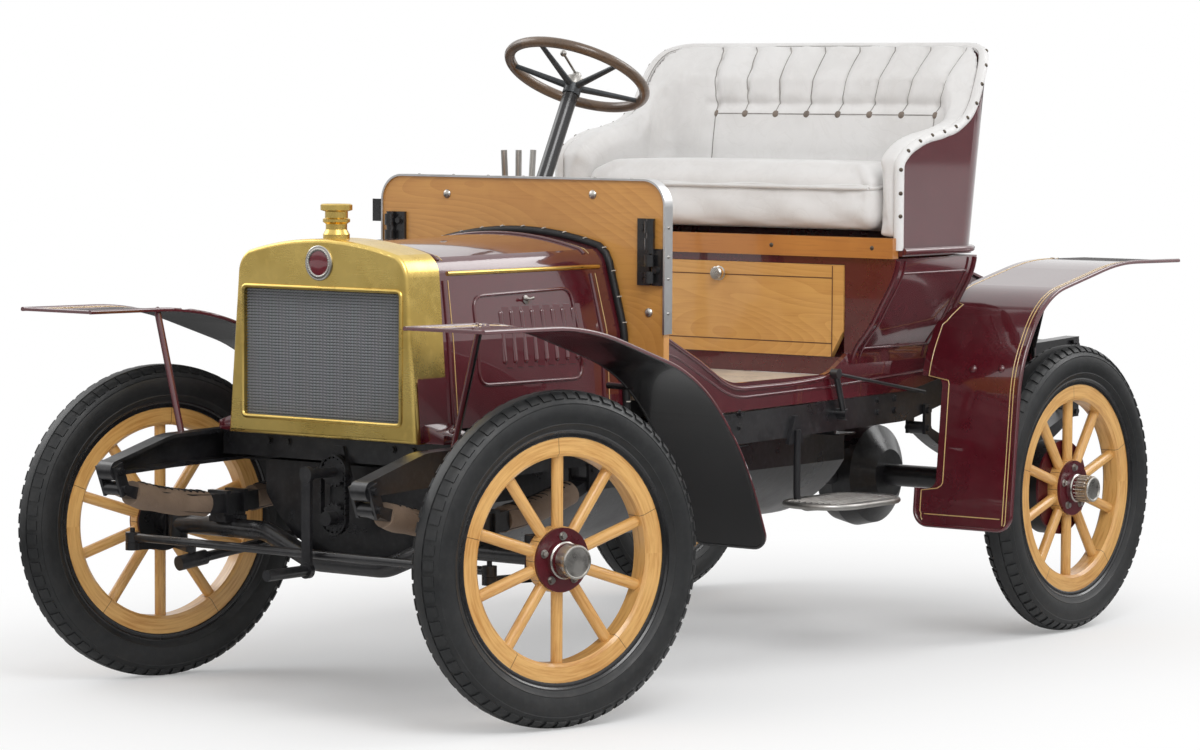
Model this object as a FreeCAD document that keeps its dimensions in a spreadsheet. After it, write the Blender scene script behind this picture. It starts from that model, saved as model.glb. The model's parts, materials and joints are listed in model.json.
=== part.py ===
import FreeCAD, Part
import Sketcher
import math
import os
import re

# Open two-seat car of about 1905. +X is forward, +Y the left side, +Z up, the ground is at zero
# and the origin lies under the middle of the whole car. Lengths are millimetres.

doc = FreeCAD.newDocument("BrassEraCar")
V = FreeCAD.Vector
NODES = {}

# Driving dimensions: lengths in millimetres, turns in degrees, and counts
SIZES = {
    # Car
    "wheelbase": 2158,
    "front_overhang": 425,
    "rear_overhang": 484,
    # Fits between pieces
    "running_fit": 0.05,
    "side_play": 1,
    "joint_gap": 0.3,
    "overrun": 40,
    # Wheels
    "tyre_diameter": 760,
    "tyre_width": 92,
    "tread_width": 70,
    "rim_width": 62,
    "rim_lip": 14,
    "tyre_depth": 104,
    "felloe_width": 56,
    "felloe_depth": 43,
    "spoke_count": 10,
    "spoke_root": 34,
    "spoke_tip": 27,
    "nave_diameter": 150,
    "nave_width": 28,
    "flange_diameter": 145,
    "flange_thickness": 8,
    "barrel_diameter": 64,
    "spindle_diameter": 34,
    "front_cap_diameter": 77,
    "front_cap_reach": 76,
    "rear_cap_diameter": 67,
    "rear_cap_reach": 82,
    "front_track": 1260,
    "rear_track": 1312,
    "drum_diameter": 250,
    "drum_width": 46,
    "hub_inner_reach": 36,
    # Steering
    "kingpin_setback": 83,
    "rest_turn": 16,
    "kingpin_diameter": 20,
    "axle_eye_diameter": 48,
    "axle_eye_height": 62,
    "fork_lug": 15,
    "steering_arm": 126,
    "arm_thickness": 18,
    "arm_width": 26,
    "rod_pin_diameter": 12,
    "tie_rod_diameter": 20,
    "tie_rod_height_above_axle": -27,
    "yoke_diameter": 34,
    "yoke_height": 24,
    "link_arm_reach": 112,
    "link_arm_lead": 32,
    "link_height_above_axle": -79,
    "link_diameter": 24,
    "link_socket_diameter": 36,
    "link_socket_length": 80,
    "pitman_length": 180,
    "pitman_thickness": 12,
    "pitman_setback": 700,
    "link_rail_gap": 51,
    "link_drift": 12,
    "pitman_shaft_diameter": 26,
    "pitman_shaft_seat": 26,
    "column_shield_gap": 64,
    "column_angle": 27.4,
    "column_diameter": 40,
    "column_foot_height_above_axle": 200,
    "column_foot_setback": 680,
    "box_length": 120,
    "box_width": 90,
    "box_height": 130,
    "hand_wheel_height_above_axle": 1086,
    "hand_wheel_diameter": 388,
    "hand_wheel_rim": 26,
    "hand_wheel_hub": 46,
    "hand_wheel_spoke": 14,
    "hand_wheel_dish": 34,
    "shaft_diameter": 18,
    # Frame
    "rail_gauge": 768,
    "rail_width": 42,
    "rail_height": 78,
    "rail_wall": 8,
    "rail_front_height_above_axle": 238,
    "rail_rise": 29,
    "kick_up": 92,
    "horn_drop": 72,
    "horn_tip": 46,
    "shackle_bolt_diameter": 22,
    "front_member_depth": 60,
    "front_member_lead": 34,
    "mid_member_setback": 600,
    "rear_member_depth": 46,
    # Axles
    "beam_diameter": 46,
    "beam_drop": 62,
    "pad_size": 76,
    "pad_thickness": 14,
    "rear_tube_diameter": 60,
    "differential_diameter": 290,
    "differential_width": 190,
    "leaf_width": 45,
    "spring_middle": 46,
    "spring_end": 24,
    "front_spring_lead": 385,
    "front_spring_trail": 390,
    "front_spring_camber": 62,
    "rear_spring_lead": 308,
    "rear_spring_trail": 455,
    "rear_spring_camber": 96,
    "shackle_thickness": 8,
    "shackle_width": 30,
    # Engine
    "shield_rail_gap": 73,
    "shield_top_height_above_axle": 168,
    "shield_side_height_above_axle": 90,
    "shield_bottom_height_above_axle": -72,
    "shield_sheet": 4,
    "shield_setback": 32,
    "shield_trail": 1640,
    "engine_length": 420,
    "engine_column_gap": 31,
    "engine_height": 500,
    "engine_base_height_above_axle": 20,
    "engine_setback": 330,
    "gearbox_length": 330,
    "gearbox_width": 300,
    "gearbox_height": 190,
    "gearbox_base_height_above_axle": -20,
    "gearbox_setback": 1290,
    "shaft_tube_diameter": 44,
    "crank_lead": 148,
    "crank_height_above_axle": 161,
    "crank_throw": 222,
    "crank_grip": 145,
    "crank_shaft_diameter": 24,
    "crank_arm_width": 26,
    "crank_arm_thickness": 10,
    "grip_diameter": 26,
    "chain_lead": 50,
    "chain_drop": 108,
    "sprocket_diameter": 62,
    "sprocket_thickness": 8,
    "sprocket_teeth": 16,
    "chain_pitch": 13,
    "chain_width": 14,
    "chain_plate_thickness": 8,
    # Radiator
    "radiator_front": 106,
    "radiator_depth": 118,
    "shell_base_height_above_axle": 242,
    "shell_base_half": 286,
    "shell_shoulder_half": 257,
    "shell_shoulder_height_above_axle": 620,
    "shell_top_height_above_axle": 702,
    "shell_corner": 58,
    "core_half": 241,
    "core_low_above_axle": 282,
    "core_high_above_axle": 589,
    "core_recess": 14,
    "core_depth": 60,
    "fin_count": 24,
    "fin_depth": 6,
    "neck_diameter": 62,
    "cap_diameter": 74,
    "cap_height": 80,
    "neck_setback": 56,
    # Bonnet
    "bonnet_sheet": 4,
    "bonnet_gap": 5,
    "hinge_front_half": 250,
    "hinge_rear_half": 276,
    "hinge_height_above_axle": 625,
    "hinge_diameter": 10,
    "bonnet_top_front_above_axle": 692,
    "bonnet_top_rear_above_axle": 700,
    "bonnet_base_height_above_axle": 270,
    "bonnet_base_front_half": 284,
    "bonnet_base_rear_half": 330,
    "bonnet_waist_front_half": 268,
    "bonnet_waist_rear_half": 320,
    "bonnet_waist_height_above_axle": 470,
    "louvre_count": 8,
    "louvre_pitch": 36,
    "louvre_width": 20,
    "louvre_height": 140,
    "louvre_proud": 9,
    "louvre_base_height_above_axle": 402,
    "louvre_setback": 215,
    # Dash
    "dash_setback": 638,
    "dash_thickness": 22,
    "dash_overhang": 32,
    "dash_top_above_axle": 831,
    "dash_base_above_axle": 320,
    "dash_corner": 60,
    "trim_proud": 5,
    "trim_width": 32,
    "bracket_width": 72,
    "bracket_height": 160,
    "bracket_thickness": 8,
    "bracket_top_above_axle": 742,
    "bracket_inset": 2,
    "bracket_barrel": 22,
    "bracket_bore": 10,
    # Body
    "body_overhang": 20,
    "body_wall": 14,
    "floor_height_above_axle": 320,
    "floor_thickness": 18,
    "sill_height_above_axle": 329,
    "scuttle_height_above_axle": 466,
    "scuttle_run": 300,
    "seat_front_setback": 1485,
    "flare_overhang": 141,
    "flare_height_above_axle": 624,
    "body_corner_setback": 1872,
    "tail_setback": 2392,
    "tail_height_above_axle": 470,
    "deck_thickness": 6,
    "toe_rise": 150,
    "toe_run": 190,
    "locker_inset": 15,
    "locker_low_above_axle": 368,
    "locker_high_above_axle": 604,
    "locker_thickness": 18,
    "locker_knob": 32,
    "rail_board_inset": 2,
    "rail_board_height": 52,
    "rail_board_thickness": 26,
    # Seat
    "seat_overhang": 5,
    "seat_wall": 16,
    "seat_base_height_above_axle": 630,
    "seat_back_setback": 1900,
    "seat_lean": 86,
    "seat_top_height_above_axle": 1172,
    "arm_front_height_above_axle": 845,
    "seat_corner": 110,
    "seat_lip": 12,
    "stuffing_thickness": 52,
    "stuffing_gap": 0.5,
    "cushion_inset": 58,
    "cushion_height": 178,
    "cushion_corner": 36,
    # Fenders
    "front_fender_inset": 65,
    "front_fender_outer": 700,
    "front_fender_lead": 374,
    "front_fender_trail": 709,
    "front_fender_gap": 146,
    "front_fender_base_above_axle": -38,
    "rear_fender_inset": 51,
    "rear_fender_outer": 755,
    "rear_fender_front_gap": 64,
    "rear_fender_trail": 420,
    "rear_fender_gap": 218,
    "rear_fender_base_above_axle": -80,
    "notch_depth": 64,
    "notch_low_above_axle": 20,
    "notch_high_above_axle": 310,
    "fender_sheet": 4,
    "fender_bead": 10,
    "fender_corner": 40,
    "stay_diameter": 16,
    "front_stay_lead": 130,
    "front_stay_inset": 22,
    "rear_stay_trail": 222,
    "front_stay_back": 190,
    # Steps
    "step_setback": 1330,
    "step_overhang": 85,
    "step_height_above_axle": 16,
    "step_length": 340,
    "step_width": 200,
    "step_thickness": 12,
    "step_hanger_setback": 1235,
    "step_hanger_diameter": 18,
    "step_bracket": 70,
    # Controls
    "lever_setback": 1075,
    "lever_gap": 54,
    "lever_height_above_axle": 892,
    "lever_width": 16,
    "lever_thickness": 8,
    "lever_spacing": 34,
    "lever_base_above_axle": 270,
    "pedal_gap": 20,
    "pedal_size": 70,
    "brake_lever_setback": 1440,
    "brake_lever_height_above_axle": 332,
    "brake_pivot_height_above_axle": 226,
    "brake_rod_diameter": 9,
    "brake_rod_run": 420,
    "brake_rod_drop": 70,
}

# Dimensions that follow others, so that the pieces keep together when one of them changes
FOLLOWERS = {
    "felloe_diameter": "tyre_diameter - 2 * tyre_depth",
    "shield_half_width": "(rail_gauge - rail_width) / 2 - shield_rail_gap",
    "column_offset": "shield_half_width - column_shield_gap",
    "engine_width": "2 * (column_offset - box_width / 2 - engine_column_gap)",
    "pad_offset": "rail_gauge / 2",
    "link_rear_offset": "(rail_gauge - rail_width) / 2 - link_rail_gap",
    "body_half": "rail_gauge / 2 + body_overhang",
    "tail_half": "body_half",
    "locker_half": "body_half - locker_inset",
    "dash_half": "body_half + dash_overhang",
    "bracket_edge": "dash_half - bracket_inset",
    "flare_half": "body_half + flare_overhang",
    "rail_board_half": "flare_half - rail_board_inset",
    "seat_half": "flare_half + seat_overhang",
    "cushion_half": "seat_half - cushion_inset",
    "front_fender_inner": "(rail_gauge + rail_width) / 2 + front_fender_inset",
    "front_fender_top": "tyre_diameter + front_fender_gap",
    "front_stay_fender": "front_fender_inner + front_stay_inset",
    "rear_fender_inner": "body_half + rear_fender_inset",
    "rear_fender_top": "tyre_diameter + rear_fender_gap",
    "rear_fender_lead": "tyre_diameter / 2 + rear_fender_front_gap",
    "step_offset": "(rail_gauge + rail_width) / 2 + step_overhang",
    "lever_offset": "body_half - lever_gap",
    "pedal_setback": "dash_setback + dash_thickness + toe_run + pedal_gap - pedal_size",
}

# Heights are given above the wheels' axles, and the car stands on its tyres
ABOVE_AXLE = "_above_axle"

cells = {name: str(value) for name, value in SIZES.items()}
for name in SIZES:
    if name.endswith(ABOVE_AXLE):
        cells[name.removesuffix(ABOVE_AXLE)] = f"=tyre_diameter / 2 + {name}"
for name, formula in FOLLOWERS.items():
    cells[name] = f"={formula}"

sheet = doc.addObject("Spreadsheet::Sheet", "Sizes")
for row, (name, content) in enumerate(cells.items(), start=1):
    sheet.set(f"A{row}", name)
    sheet.set(f"B{row}", content)
    sheet.setAlias(f"B{row}", name)
doc.recompute()


def num(formula):
    """The present value of a formula in the sheet's names, angles in degrees."""
    return float(sheet.evalExpression(formula))


def at(x, y, z):
    """A point from three formulas."""
    return V(num(x), num(y), num(z))


def linked(formula):
    """A formula as other objects of the document read it."""
    return re.sub(r"[a-z_][a-z_0-9]*(?![a-z_0-9(])", lambda m: "Sizes." + m.group(0), formula)


def bind(item, **formulas):
    """Ties properties of an object to formulas."""
    for name, formula in formulas.items():
        item.setExpression(name.replace("__", "."), linked(formula))


# Places worked out from the driving dimensions
FRONT_X = "((rear_overhang + wheelbase - front_overhang) / 2)"
REAR_X = f"({FRONT_X} - wheelbase)"
AXLE_Z = "(tyre_diameter / 2)"
KINGPIN_Y = "(front_track / 2 - kingpin_setback)"
DASH_X = f"({FRONT_X} - dash_setback)"
RAIL_TOP = "(rail_front_height + rail_rise)"
SEAT_X = f"({FRONT_X} - seat_front_setback)"
RADIATOR_X = f"({FRONT_X} + radiator_front)"
SHELL_BACK_X = f"({RADIATOR_X} - radiator_depth)"


def node(label, item):
    """Registers a finished sub-part under the name of its file."""
    item.Label = label
    NODES[label] = item
    return item


def feature(label, shape):
    """A sub-part whose form is worked out with Part's own functions."""
    place = shape.Placement
    item = doc.addObject("Part::Feature", label)
    item.Shape = shape
    item.Placement = place
    return node(label, item)


# Part primitives tied to the sheet
def box(x, y, z, length, width, height):
    item = doc.addObject("Part::Box", "Block")
    bind(item, Length=length, Width=width, Height=height)
    bind(item, Placement__Base__x=x, Placement__Base__y=y, Placement__Base__z=z)
    return item


TURNS = {
    "x": FreeCAD.Rotation(V(0, 1, 0), 90),
    "y": FreeCAD.Rotation(V(1, 0, 0), -90),
    "z": FreeCAD.Rotation(),
}


def rod(x, y, z, diameter, length, axis="z"):
    item = doc.addObject("Part::Cylinder", "Rod")
    bind(item, Radius=f"({diameter}) / 2", Height=length)
    item.Placement.Rotation = TURNS[axis]
    bind(item, Placement__Base__x=x, Placement__Base__y=y, Placement__Base__z=z)
    return item


def fuse(*items):
    joined = doc.addObject("Part::MultiFuse", "Joined")
    joined.Shapes = list(items)
    joined.Refine = True
    return joined


def cut(base, tool):
    item = doc.addObject("Part::Cut", "Trimmed")
    item.Base = base
    item.Tool = tool
    item.Refine = True
    return item


# PartDesign bodies with sketches tied to the sheet
def new_body(label):
    return node(label, doc.addObject("PartDesign::Body", label))


def new_sketch(body, role, shift=None):
    """A sketch on one of the body's origin planes, moved along its normal."""
    sketch = body.newObject("Sketcher::SketchObject", "Outline")
    plane = next(o for o in body.Origin.OriginFeatures if o.Role == role)
    sketch.AttachmentSupport = [(plane, "")]
    sketch.MapMode = "FlatFace"
    if shift:
        sketch.setExpression(".AttachmentOffset.Base.z", linked(shift))
    return sketch


def pin_point(sketch, geometry, end, x, y):
    for kind, formula in (("DistanceX", x), ("DistanceY", y)):
        value = num(formula)
        if abs(value) < 1e-9 and formula == "0":
            axis = -2 if kind == "DistanceX" else -1
            sketch.addConstraint(Sketcher.Constraint("PointOnObject", geometry, end, axis))
            continue
        index = sketch.addConstraint(Sketcher.Constraint(kind, -1, 1, geometry, end, value))
        sketch.setExpression(f"Constraints[{index}]", linked(formula))


def trace(sketch, points):
    """A closed outline. A point (x, y) ends a line; (x, y, radius, side) ends an arc whose
    centre lies left (side 1) or right (side -1) of the way."""
    count = len(points)
    ends = [(num(p[0]), num(p[1])) for p in points]
    last = []
    for i in range(count):
        (ax, ay), (bx, by) = ends[i - 1], ends[i]
        a, b = V(ax, ay, 0), V(bx, by, 0)
        step = points[i]
        if len(step) == 2:
            g = sketch.addGeometry(Part.LineSegment(a, b), False)
            last.append((g, 1, 2))
            continue
        radius, side = num(step[2]), step[3]
        half = (b - a) * 0.5
        rise = math.sqrt(max(radius**2 - half.Length**2, 0))
        normal = V(-half.y, half.x, 0)
        centre = a + half + normal.normalize() * rise * side
        start, end = (a, b) if side > 0 else (b, a)
        first = math.atan2(start.y - centre.y, start.x - centre.x)
        final = math.atan2(end.y - centre.y, end.x - centre.x)
        if final < first:
            final += 2 * math.pi
        circle = Part.Circle(centre, V(0, 0, 1), radius)
        g = sketch.addGeometry(Part.ArcOfCircle(circle, first, final), False)
        last.append((g, 1, 2) if side > 0 else (g, 2, 1))
        index = sketch.addConstraint(Sketcher.Constraint("Radius", g, radius))
        sketch.setExpression(f"Constraints[{index}]", linked(step[2]))
    for i in range(count):
        before, this = last[i - 1], last[i]
        sketch.addConstraint(Sketcher.Constraint("Coincident", before[0], before[2], this[0], this[1]))
    for i in range(count):
        pin_point(sketch, last[i][0], last[i][2], points[i][0], points[i][1])


def ring(sketch, x, y, diameter):
    """A full circle."""
    g = sketch.addGeometry(Part.Circle(at(x, y, "0"), V(0, 0, 1), num(diameter) / 2), False)
    index = sketch.addConstraint(Sketcher.Constraint("Diameter", g, num(diameter)))
    sketch.setExpression(f"Constraints[{index}]", linked(diameter))
    pin_point(sketch, g, 3, x, y)


def pad(body, sketch, length, both=False):
    item = body.newObject("PartDesign::Pad", "Pad")
    item.Profile = sketch
    bind(item, Length=length)
    item.Midplane = both
    return item


def pocket(body, sketch, length, both=False, back=False):
    item = body.newObject("PartDesign::Pocket", "Pocket")
    item.Profile = sketch
    bind(item, Length=length)
    item.Midplane = both
    item.Reversed = back
    return item


def revolve(body, sketch, axis="H_Axis"):
    item = body.newObject("PartDesign::Revolution", "Revolution")
    item.Profile = sketch
    item.ReferenceAxis = (sketch, [axis])
    item.Angle = 360
    return item


def around(body, base, count, axis):
    """A polar pattern about one of the body's origin axes."""
    item = body.newObject("PartDesign::PolarPattern", "Pattern")
    item.Originals = [base]
    line = next(o for o in body.Origin.OriginFeatures if o.Role == axis)
    item.Axis = (line, [""])
    item.Angle = 360
    item.setExpression("Occurrences", linked(count))
    body.Tip = item
    return item


# Curves and sheets made with Part's own functions
def rounded(points, radii):
    """A wire of straight runs joined by tangent arcs; radii belong to the inner corners."""
    edges = []
    start = points[0]
    for i in range(1, len(points) - 1):
        before = (points[i - 1] - points[i]).normalize()
        after = (points[i + 1] - points[i]).normalize()
        turn = math.pi - before.getAngle(after)
        reach = radii[i - 1] * math.tan(turn / 2)
        a, b = points[i] + before * reach, points[i] + after * reach
        middle = (before + after).normalize()
        top = points[i] + middle * (radii[i - 1] / math.cos(turn / 2) - radii[i - 1])
        if (a - start).Length > 1e-6:
            edges.append(Part.LineSegment(start, a).toShape())
        edges.append(Part.Arc(a, top, b).toShape())
        start = b
    edges.append(Part.LineSegment(start, points[-1]).toShape())
    return Part.Wire(edges)


def tube(points, radii, diameter):
    """A round bar along a rounded path."""
    path = rounded(points, radii) if len(points) > 2 else Part.Wire([Part.LineSegment(*points).toShape()])
    way = (points[1] - points[0]).normalize()
    circle = Part.Wire([Part.Circle(points[0], way, diameter / 2).toShape()])
    return path.makePipeShell([circle], True, False)


def plate(points, way):
    """A flat plate with straight sides."""
    return Part.Face(Part.makePolygon(points + [points[0]])).extrude(way)


def flip(shape):
    """The mirror image on the other side of the car."""
    return shape.mirror(V(0, 0, 0), V(0, 1, 0))


def pair(shape):
    """A piece and its mirror image, which don't touch."""
    return Part.Compound([shape, flip(shape)])


def one(shape, *others):
    """Shapes joined to one solid."""
    joined = shape.fuse(list(others)).removeSplitter()
    return joined.Solids[0] if len(joined.Solids) == 1 else joined


# Wheels
def wheel_place(item, end, side):
    """Puts a wheel piece modelled about the Y axis on its axle; front wheels stand turned."""
    turn = -num("rest_turn") if end == "front" else 0
    item.Placement.Rotation = FreeCAD.Rotation(V(0, 0, 1), turn + (0 if side > 0 else 180))
    if end == "rear":
        bind(item, Placement__Base__x=REAR_X, Placement__Base__y=f"{side} * rear_track / 2")
    else:
        bind(item, Placement__Base__x=f"{FRONT_X} + {side} * kingpin_setback * sin(rest_turn)")
        bind(item, Placement__Base__y=f"{side} * ({KINGPIN_Y} + kingpin_setback * cos(rest_turn))")
    bind(item, Placement__Base__z=AXLE_Z)


def make_tyre(label):
    body = new_body(label)
    sketch = new_sketch(body, "YZ_Plane")
    rim, half, tread = "rim_width / 2", "tyre_width / 2", "tread_width / 2"
    felloe, out = "felloe_diameter / 2", "tyre_diameter / 2"
    lip = f"{felloe} + rim_lip"
    belly = f"({out} + {lip}) / 2"
    shoulder = f"{out} - rim_lip / 2"
    trace(
        sketch,
        [
            (f"-{rim}", felloe),
            (rim, felloe),
            (rim, lip),
            (half, belly, "tyre_width * 0.62", 1),
            (tread, shoulder, "tyre_width * 0.55", 1),
            (f"-{tread}", shoulder, "tread_width * 1.25", 1),
            (f"-{half}", belly, "tyre_width * 0.55", 1),
            (f"-{rim}", lip, "tyre_width * 0.62", 1),
        ],
    )
    revolve(body, sketch)
    return body


def make_wheel(label):
    """Felloe, ten turned spokes and the disc in which they meet."""
    body = new_body(label)
    sketch = new_sketch(body, "YZ_Plane")
    half, out = "felloe_width / 2", "felloe_diameter / 2"
    chamfer = "felloe_depth / 6"
    trace(
        sketch,
        [
            (f"-{half}", out),
            (f"-{half}", f"{out} - felloe_depth + {chamfer}"),
            (f"-{half} + {chamfer}", f"{out} - felloe_depth"),
            (f"{half} - {chamfer}", f"{out} - felloe_depth"),
            (half, f"{out} - felloe_depth + {chamfer}"),
            (half, out),
        ],
    )
    revolve(body, sketch)
    nave = new_sketch(body, "YZ_Plane")
    trace(
        nave,
        [
            ("-nave_width / 2", "barrel_diameter / 2"),
            ("nave_width / 2", "barrel_diameter / 2"),
            ("nave_width / 2", "nave_diameter / 2"),
            ("-nave_width / 2", "nave_diameter / 2"),
        ],
    )
    revolve(body, nave)
    foot = new_sketch(body, "XY_Plane", "nave_diameter / 2 - spoke_root / 4")
    ring(foot, "0", "0", "spoke_root * 0.8")
    tip = new_sketch(body, "XY_Plane", "felloe_diameter / 2 - felloe_depth / 2")
    ring(tip, "0", "0", "spoke_tip")
    spoke = body.newObject("PartDesign::AdditiveLoft", "Spoke")
    spoke.Profile = foot
    spoke.Sections = [tip]
    spoke.Ruled = True
    around(body, spoke, "spoke_count", "Y_Axis")
    return body


def make_hub(label, end):
    """Hub barrel with its two flanges, the rear one widened to a brake drum, and the cap."""
    body = new_body(label)
    sketch = new_sketch(body, "YZ_Plane")
    bore = "spindle_diameter / 2 + running_fit"
    barrel, flange = "barrel_diameter / 2", "flange_diameter / 2"
    face = "nave_width / 2"
    reach, cap = f"{end}_cap_reach", f"{end}_cap_diameter / 2"
    inner = "-hub_inner_reach"
    back = [
        (f"-{face}", flange),
        (f"-{face} - flange_thickness", flange),
        (f"-{face} - flange_thickness", barrel),
        (inner, barrel),
        (inner, bore),
    ]
    if end == "rear":
        drum = "drum_diameter / 2"
        deep = f"-{face} - flange_thickness - drum_width"
        back = [
            (f"-{face}", drum),
            (deep, drum),
            (deep, f"{drum} - flange_thickness"),
            (f"-{face} - flange_thickness", f"{drum} - flange_thickness"),
            (f"-{face} - flange_thickness", barrel),
            (inner, barrel),
            (inner, bore),
        ]
    crown = f"{reach} - flange_thickness"
    trace(
        sketch,
        [(f"-{face}", barrel)]
        + back
        + [
            (f"{reach} - 2 * flange_thickness", bore),
            (f"{reach} - 2 * flange_thickness", "0"),
            (reach, "0"),
            (reach, f"{cap} - flange_thickness / 2"),
            (f"{reach} - flange_thickness / 2", cap),
            (f"{face} + flange_thickness * 2", cap),
            (f"{face} + flange_thickness", f"{cap} + flange_thickness / 2"),
            (f"{face} + flange_thickness", flange),
            (face, flange),
            (face, barrel),
        ],
    )
    revolve(body, sketch)
    return body


for END in ("front", "rear"):
    for SIDE, NAME in ((1, "left"), (-1, "right")):
        for piece in (
            make_tyre(f"tyre_{END}_{NAME}"),
            make_wheel(f"wheel_{END}_{NAME}"),
            make_hub(f"hub_{END}_{NAME}", END),
        ):
            wheel_place(piece, END, SIDE)


# Frame of pressed channel: side rails with dumb irons in front and a kick-up over the rear axle
def frame_line():
    """The rails' upper edge, from the dumb iron's tip to the rear end."""
    base, rise = num("rail_front_height"), num("rail_rise")
    front, rear = num(FRONT_X), num(REAR_X)
    lead, trail = num("front_overhang"), num("rear_overhang")
    top = base + rise
    kick = num("kick_up")
    tip = num("horn_tip")
    return [
        V(front + lead - tip / 2, 0, base - num("horn_drop") + tip / 2),
        V(front + lead * 0.5, 0, base),
        V(front - num("dash_setback"), 0, base + rise * 0.4),
        V(rear + trail * 0.8, 0, top),
        V(rear - trail * 0.35, 0, top + kick),
        V(rear - trail, 0, top + kick + rise * 0.4),
    ]


def below_frame():
    """All the space under the rails' upper edge, with the gap that a seated board keeps."""
    top = [p + V(0, 0, num("joint_gap")) for p in frame_line()]
    radii = [num("front_overhang") * 0.5, num("wheelbase"), num("rear_overhang"), num("rear_overhang")]
    upper = rounded(top, radii)
    floor_z = top[0].z - num("wheelbase")
    low = [V(top[-1].x, 0, floor_z), V(top[0].x, 0, floor_z)]
    edges = upper.Edges + [
        Part.LineSegment(top[-1], low[0]).toShape(),
        Part.LineSegment(low[0], low[1]).toShape(),
        Part.LineSegment(low[1], top[0]).toShape(),
    ]
    width = num("wheelbase")
    solid = Part.Face(Part.Wire(Part.__sortEdges__(edges))).extrude(V(0, width, 0))
    solid.translate(V(0, -width / 2, 0))
    return solid


def make_frame():
    height, width, wall = num("rail_height"), num("rail_width"), num("rail_wall")
    tip = num("horn_tip")
    top = frame_line()
    slim_shares = (0.45, 1, 1, 1, 0.75, 0.6)
    low = [p - V(0, 0, height * s) for p, s in zip(top, slim_shares)]
    radii = [num("front_overhang") * 0.5, num("wheelbase"), num("rear_overhang"), num("rear_overhang")]
    upper = rounded(top, radii)
    lower = rounded(low, radii)
    ends = [
        Part.LineSegment(top[0], low[0]).toShape(),
        Part.LineSegment(top[-1], low[-1]).toShape(),
    ]
    face = Part.Face(Part.Wire(Part.__sortEdges__(upper.Edges + lower.Edges + ends)))
    centre = num("rail_gauge / 2")
    rail = face.extrude(V(0, width, 0))
    rail.translate(V(0, centre - width / 2, 0))
    inner = face.makeOffset2D(-wall)
    channel = inner.extrude(V(0, width, 0))
    channel.translate(V(0, centre - width / 2 - wall, 0))
    rail = rail.cut(channel)
    eye = num("leaf_width - 2 * joint_gap")
    boss = Part.makeCylinder(tip / 2, eye, V(top[0].x, centre - eye / 2, top[0].z - tip / 2), V(0, 1, 0))
    rail = one(rail, boss)
    gap = 2 * centre - width + 2 * wall * 0.5
    members = []
    for place, crest in (
        ("front_member_lead - rail_wall", "shell_base_height - joint_gap"),
        ("-mid_member_setback", "rail_front_height - rail_wall"),
        ("-seat_front_setback", "rail_front_height - rail_wall"),
    ):
        x, depth = num(f"{FRONT_X} + {place}"), "front_member_depth"
        z = num(crest)
        members.append(Part.makeBox(wall, gap, num(depth), V(x, -gap / 2, z - num(depth))))
        members.append(Part.makeBox(num(depth) / 2, gap, wall, V(x - num(depth) / 2, -gap / 2, z - wall)))
    back = top[-1]
    depth = num("rear_member_depth")
    back_x = back.x + num("2 * shackle_width")
    members.append(Part.makeBox(depth / 2, gap, depth * 0.8, V(back_x, -gap / 2, back.z - depth)))
    return one(rail, flip(rail), *members)


feature("frame", make_frame())


# Front axle: a dropped beam between two eyes
def make_front_axle():
    x, z = num(FRONT_X), num(AXLE_Z)
    king, pad_y = num(KINGPIN_Y), num("pad_offset")
    drop, beam = num("beam_drop"), num("beam_diameter")
    bend = pad_y - num("pad_size") * 1.6
    points = [
        V(x, king, z),
        V(x, bend, z),
        V(x, bend * 0.42, z - drop),
        V(x, -bend * 0.42, z - drop),
        V(x, -bend, z),
        V(x, -king, z),
    ]
    radii = [beam * 2.2, beam * 2.6, beam * 2.6, beam * 2.2]
    bar = tube(points, radii, beam)
    eye_r, eye_h = num("axle_eye_diameter") / 2, num("axle_eye_height")
    pin = num("kingpin_diameter / 2 + running_fit")
    solid = bar
    for side in (1, -1):
        eye = Part.makeCylinder(eye_r, eye_h, V(x, side * king, z - eye_h / 2))
        pad_s = num("pad_size")
        seat = Part.makeBox(pad_s, pad_s * 0.7, num("pad_thickness"))
        seat.translate(V(x - pad_s / 2, side * pad_y - pad_s * 0.35, z + beam / 2 - num("pad_thickness") / 2))
        solid = solid.fuse([eye, seat])
    for side in (1, -1):
        solid = solid.cut(Part.makeCylinder(pin, eye_h * 2, V(x, side * king, z - eye_h)))
    return solid.removeSplitter().Solids[0]


feature("front_axle", make_front_axle())


def make_rear_axle():
    x, z = num(REAR_X), num(AXLE_Z)
    half = num("rear_track / 2 - hub_inner_reach")
    tube_d, diff = num("rear_tube_diameter"), num("differential_diameter")
    bar = Part.makeCylinder(tube_d / 2, 2 * (half - num("side_play")), V(x, -half + num("side_play"), z), V(0, 1, 0))
    width = num("differential_width")
    half_profile = [
        V(x, -width / 2, z),
        V(x, -width / 2, z + diff * 0.24),
        V(x, -width * 0.28, z + diff * 0.46),
        V(x, 0, z + diff / 2),
        V(x, width * 0.28, z + diff * 0.46),
        V(x, width / 2, z + diff * 0.24),
        V(x, width / 2, z),
    ]
    face = Part.Face(Part.makePolygon(half_profile + [half_profile[0]]))
    case = face.revolve(V(x, 0, z), V(0, 1, 0), 360)
    spindles = Part.makeCylinder(
        num("spindle_diameter / 2"),
        num("rear_track + 2 * (rear_cap_reach - 3 * flange_thickness)"),
        V(x, -num("rear_track / 2 + rear_cap_reach - 3 * flange_thickness"), z),
        V(0, 1, 0),
    )
    pads = []
    pad_s = num("pad_size")
    for side in (1, -1):
        seat = Part.makeBox(pad_s, pad_s * 0.7, num("pad_thickness"))
        seat.translate(V(x - pad_s / 2, side * num("pad_offset") - pad_s * 0.35, z + tube_d / 2 - num("pad_thickness") / 2))
        pads.append(seat)
    return one(bar, case, spindles, *pads)


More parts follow.
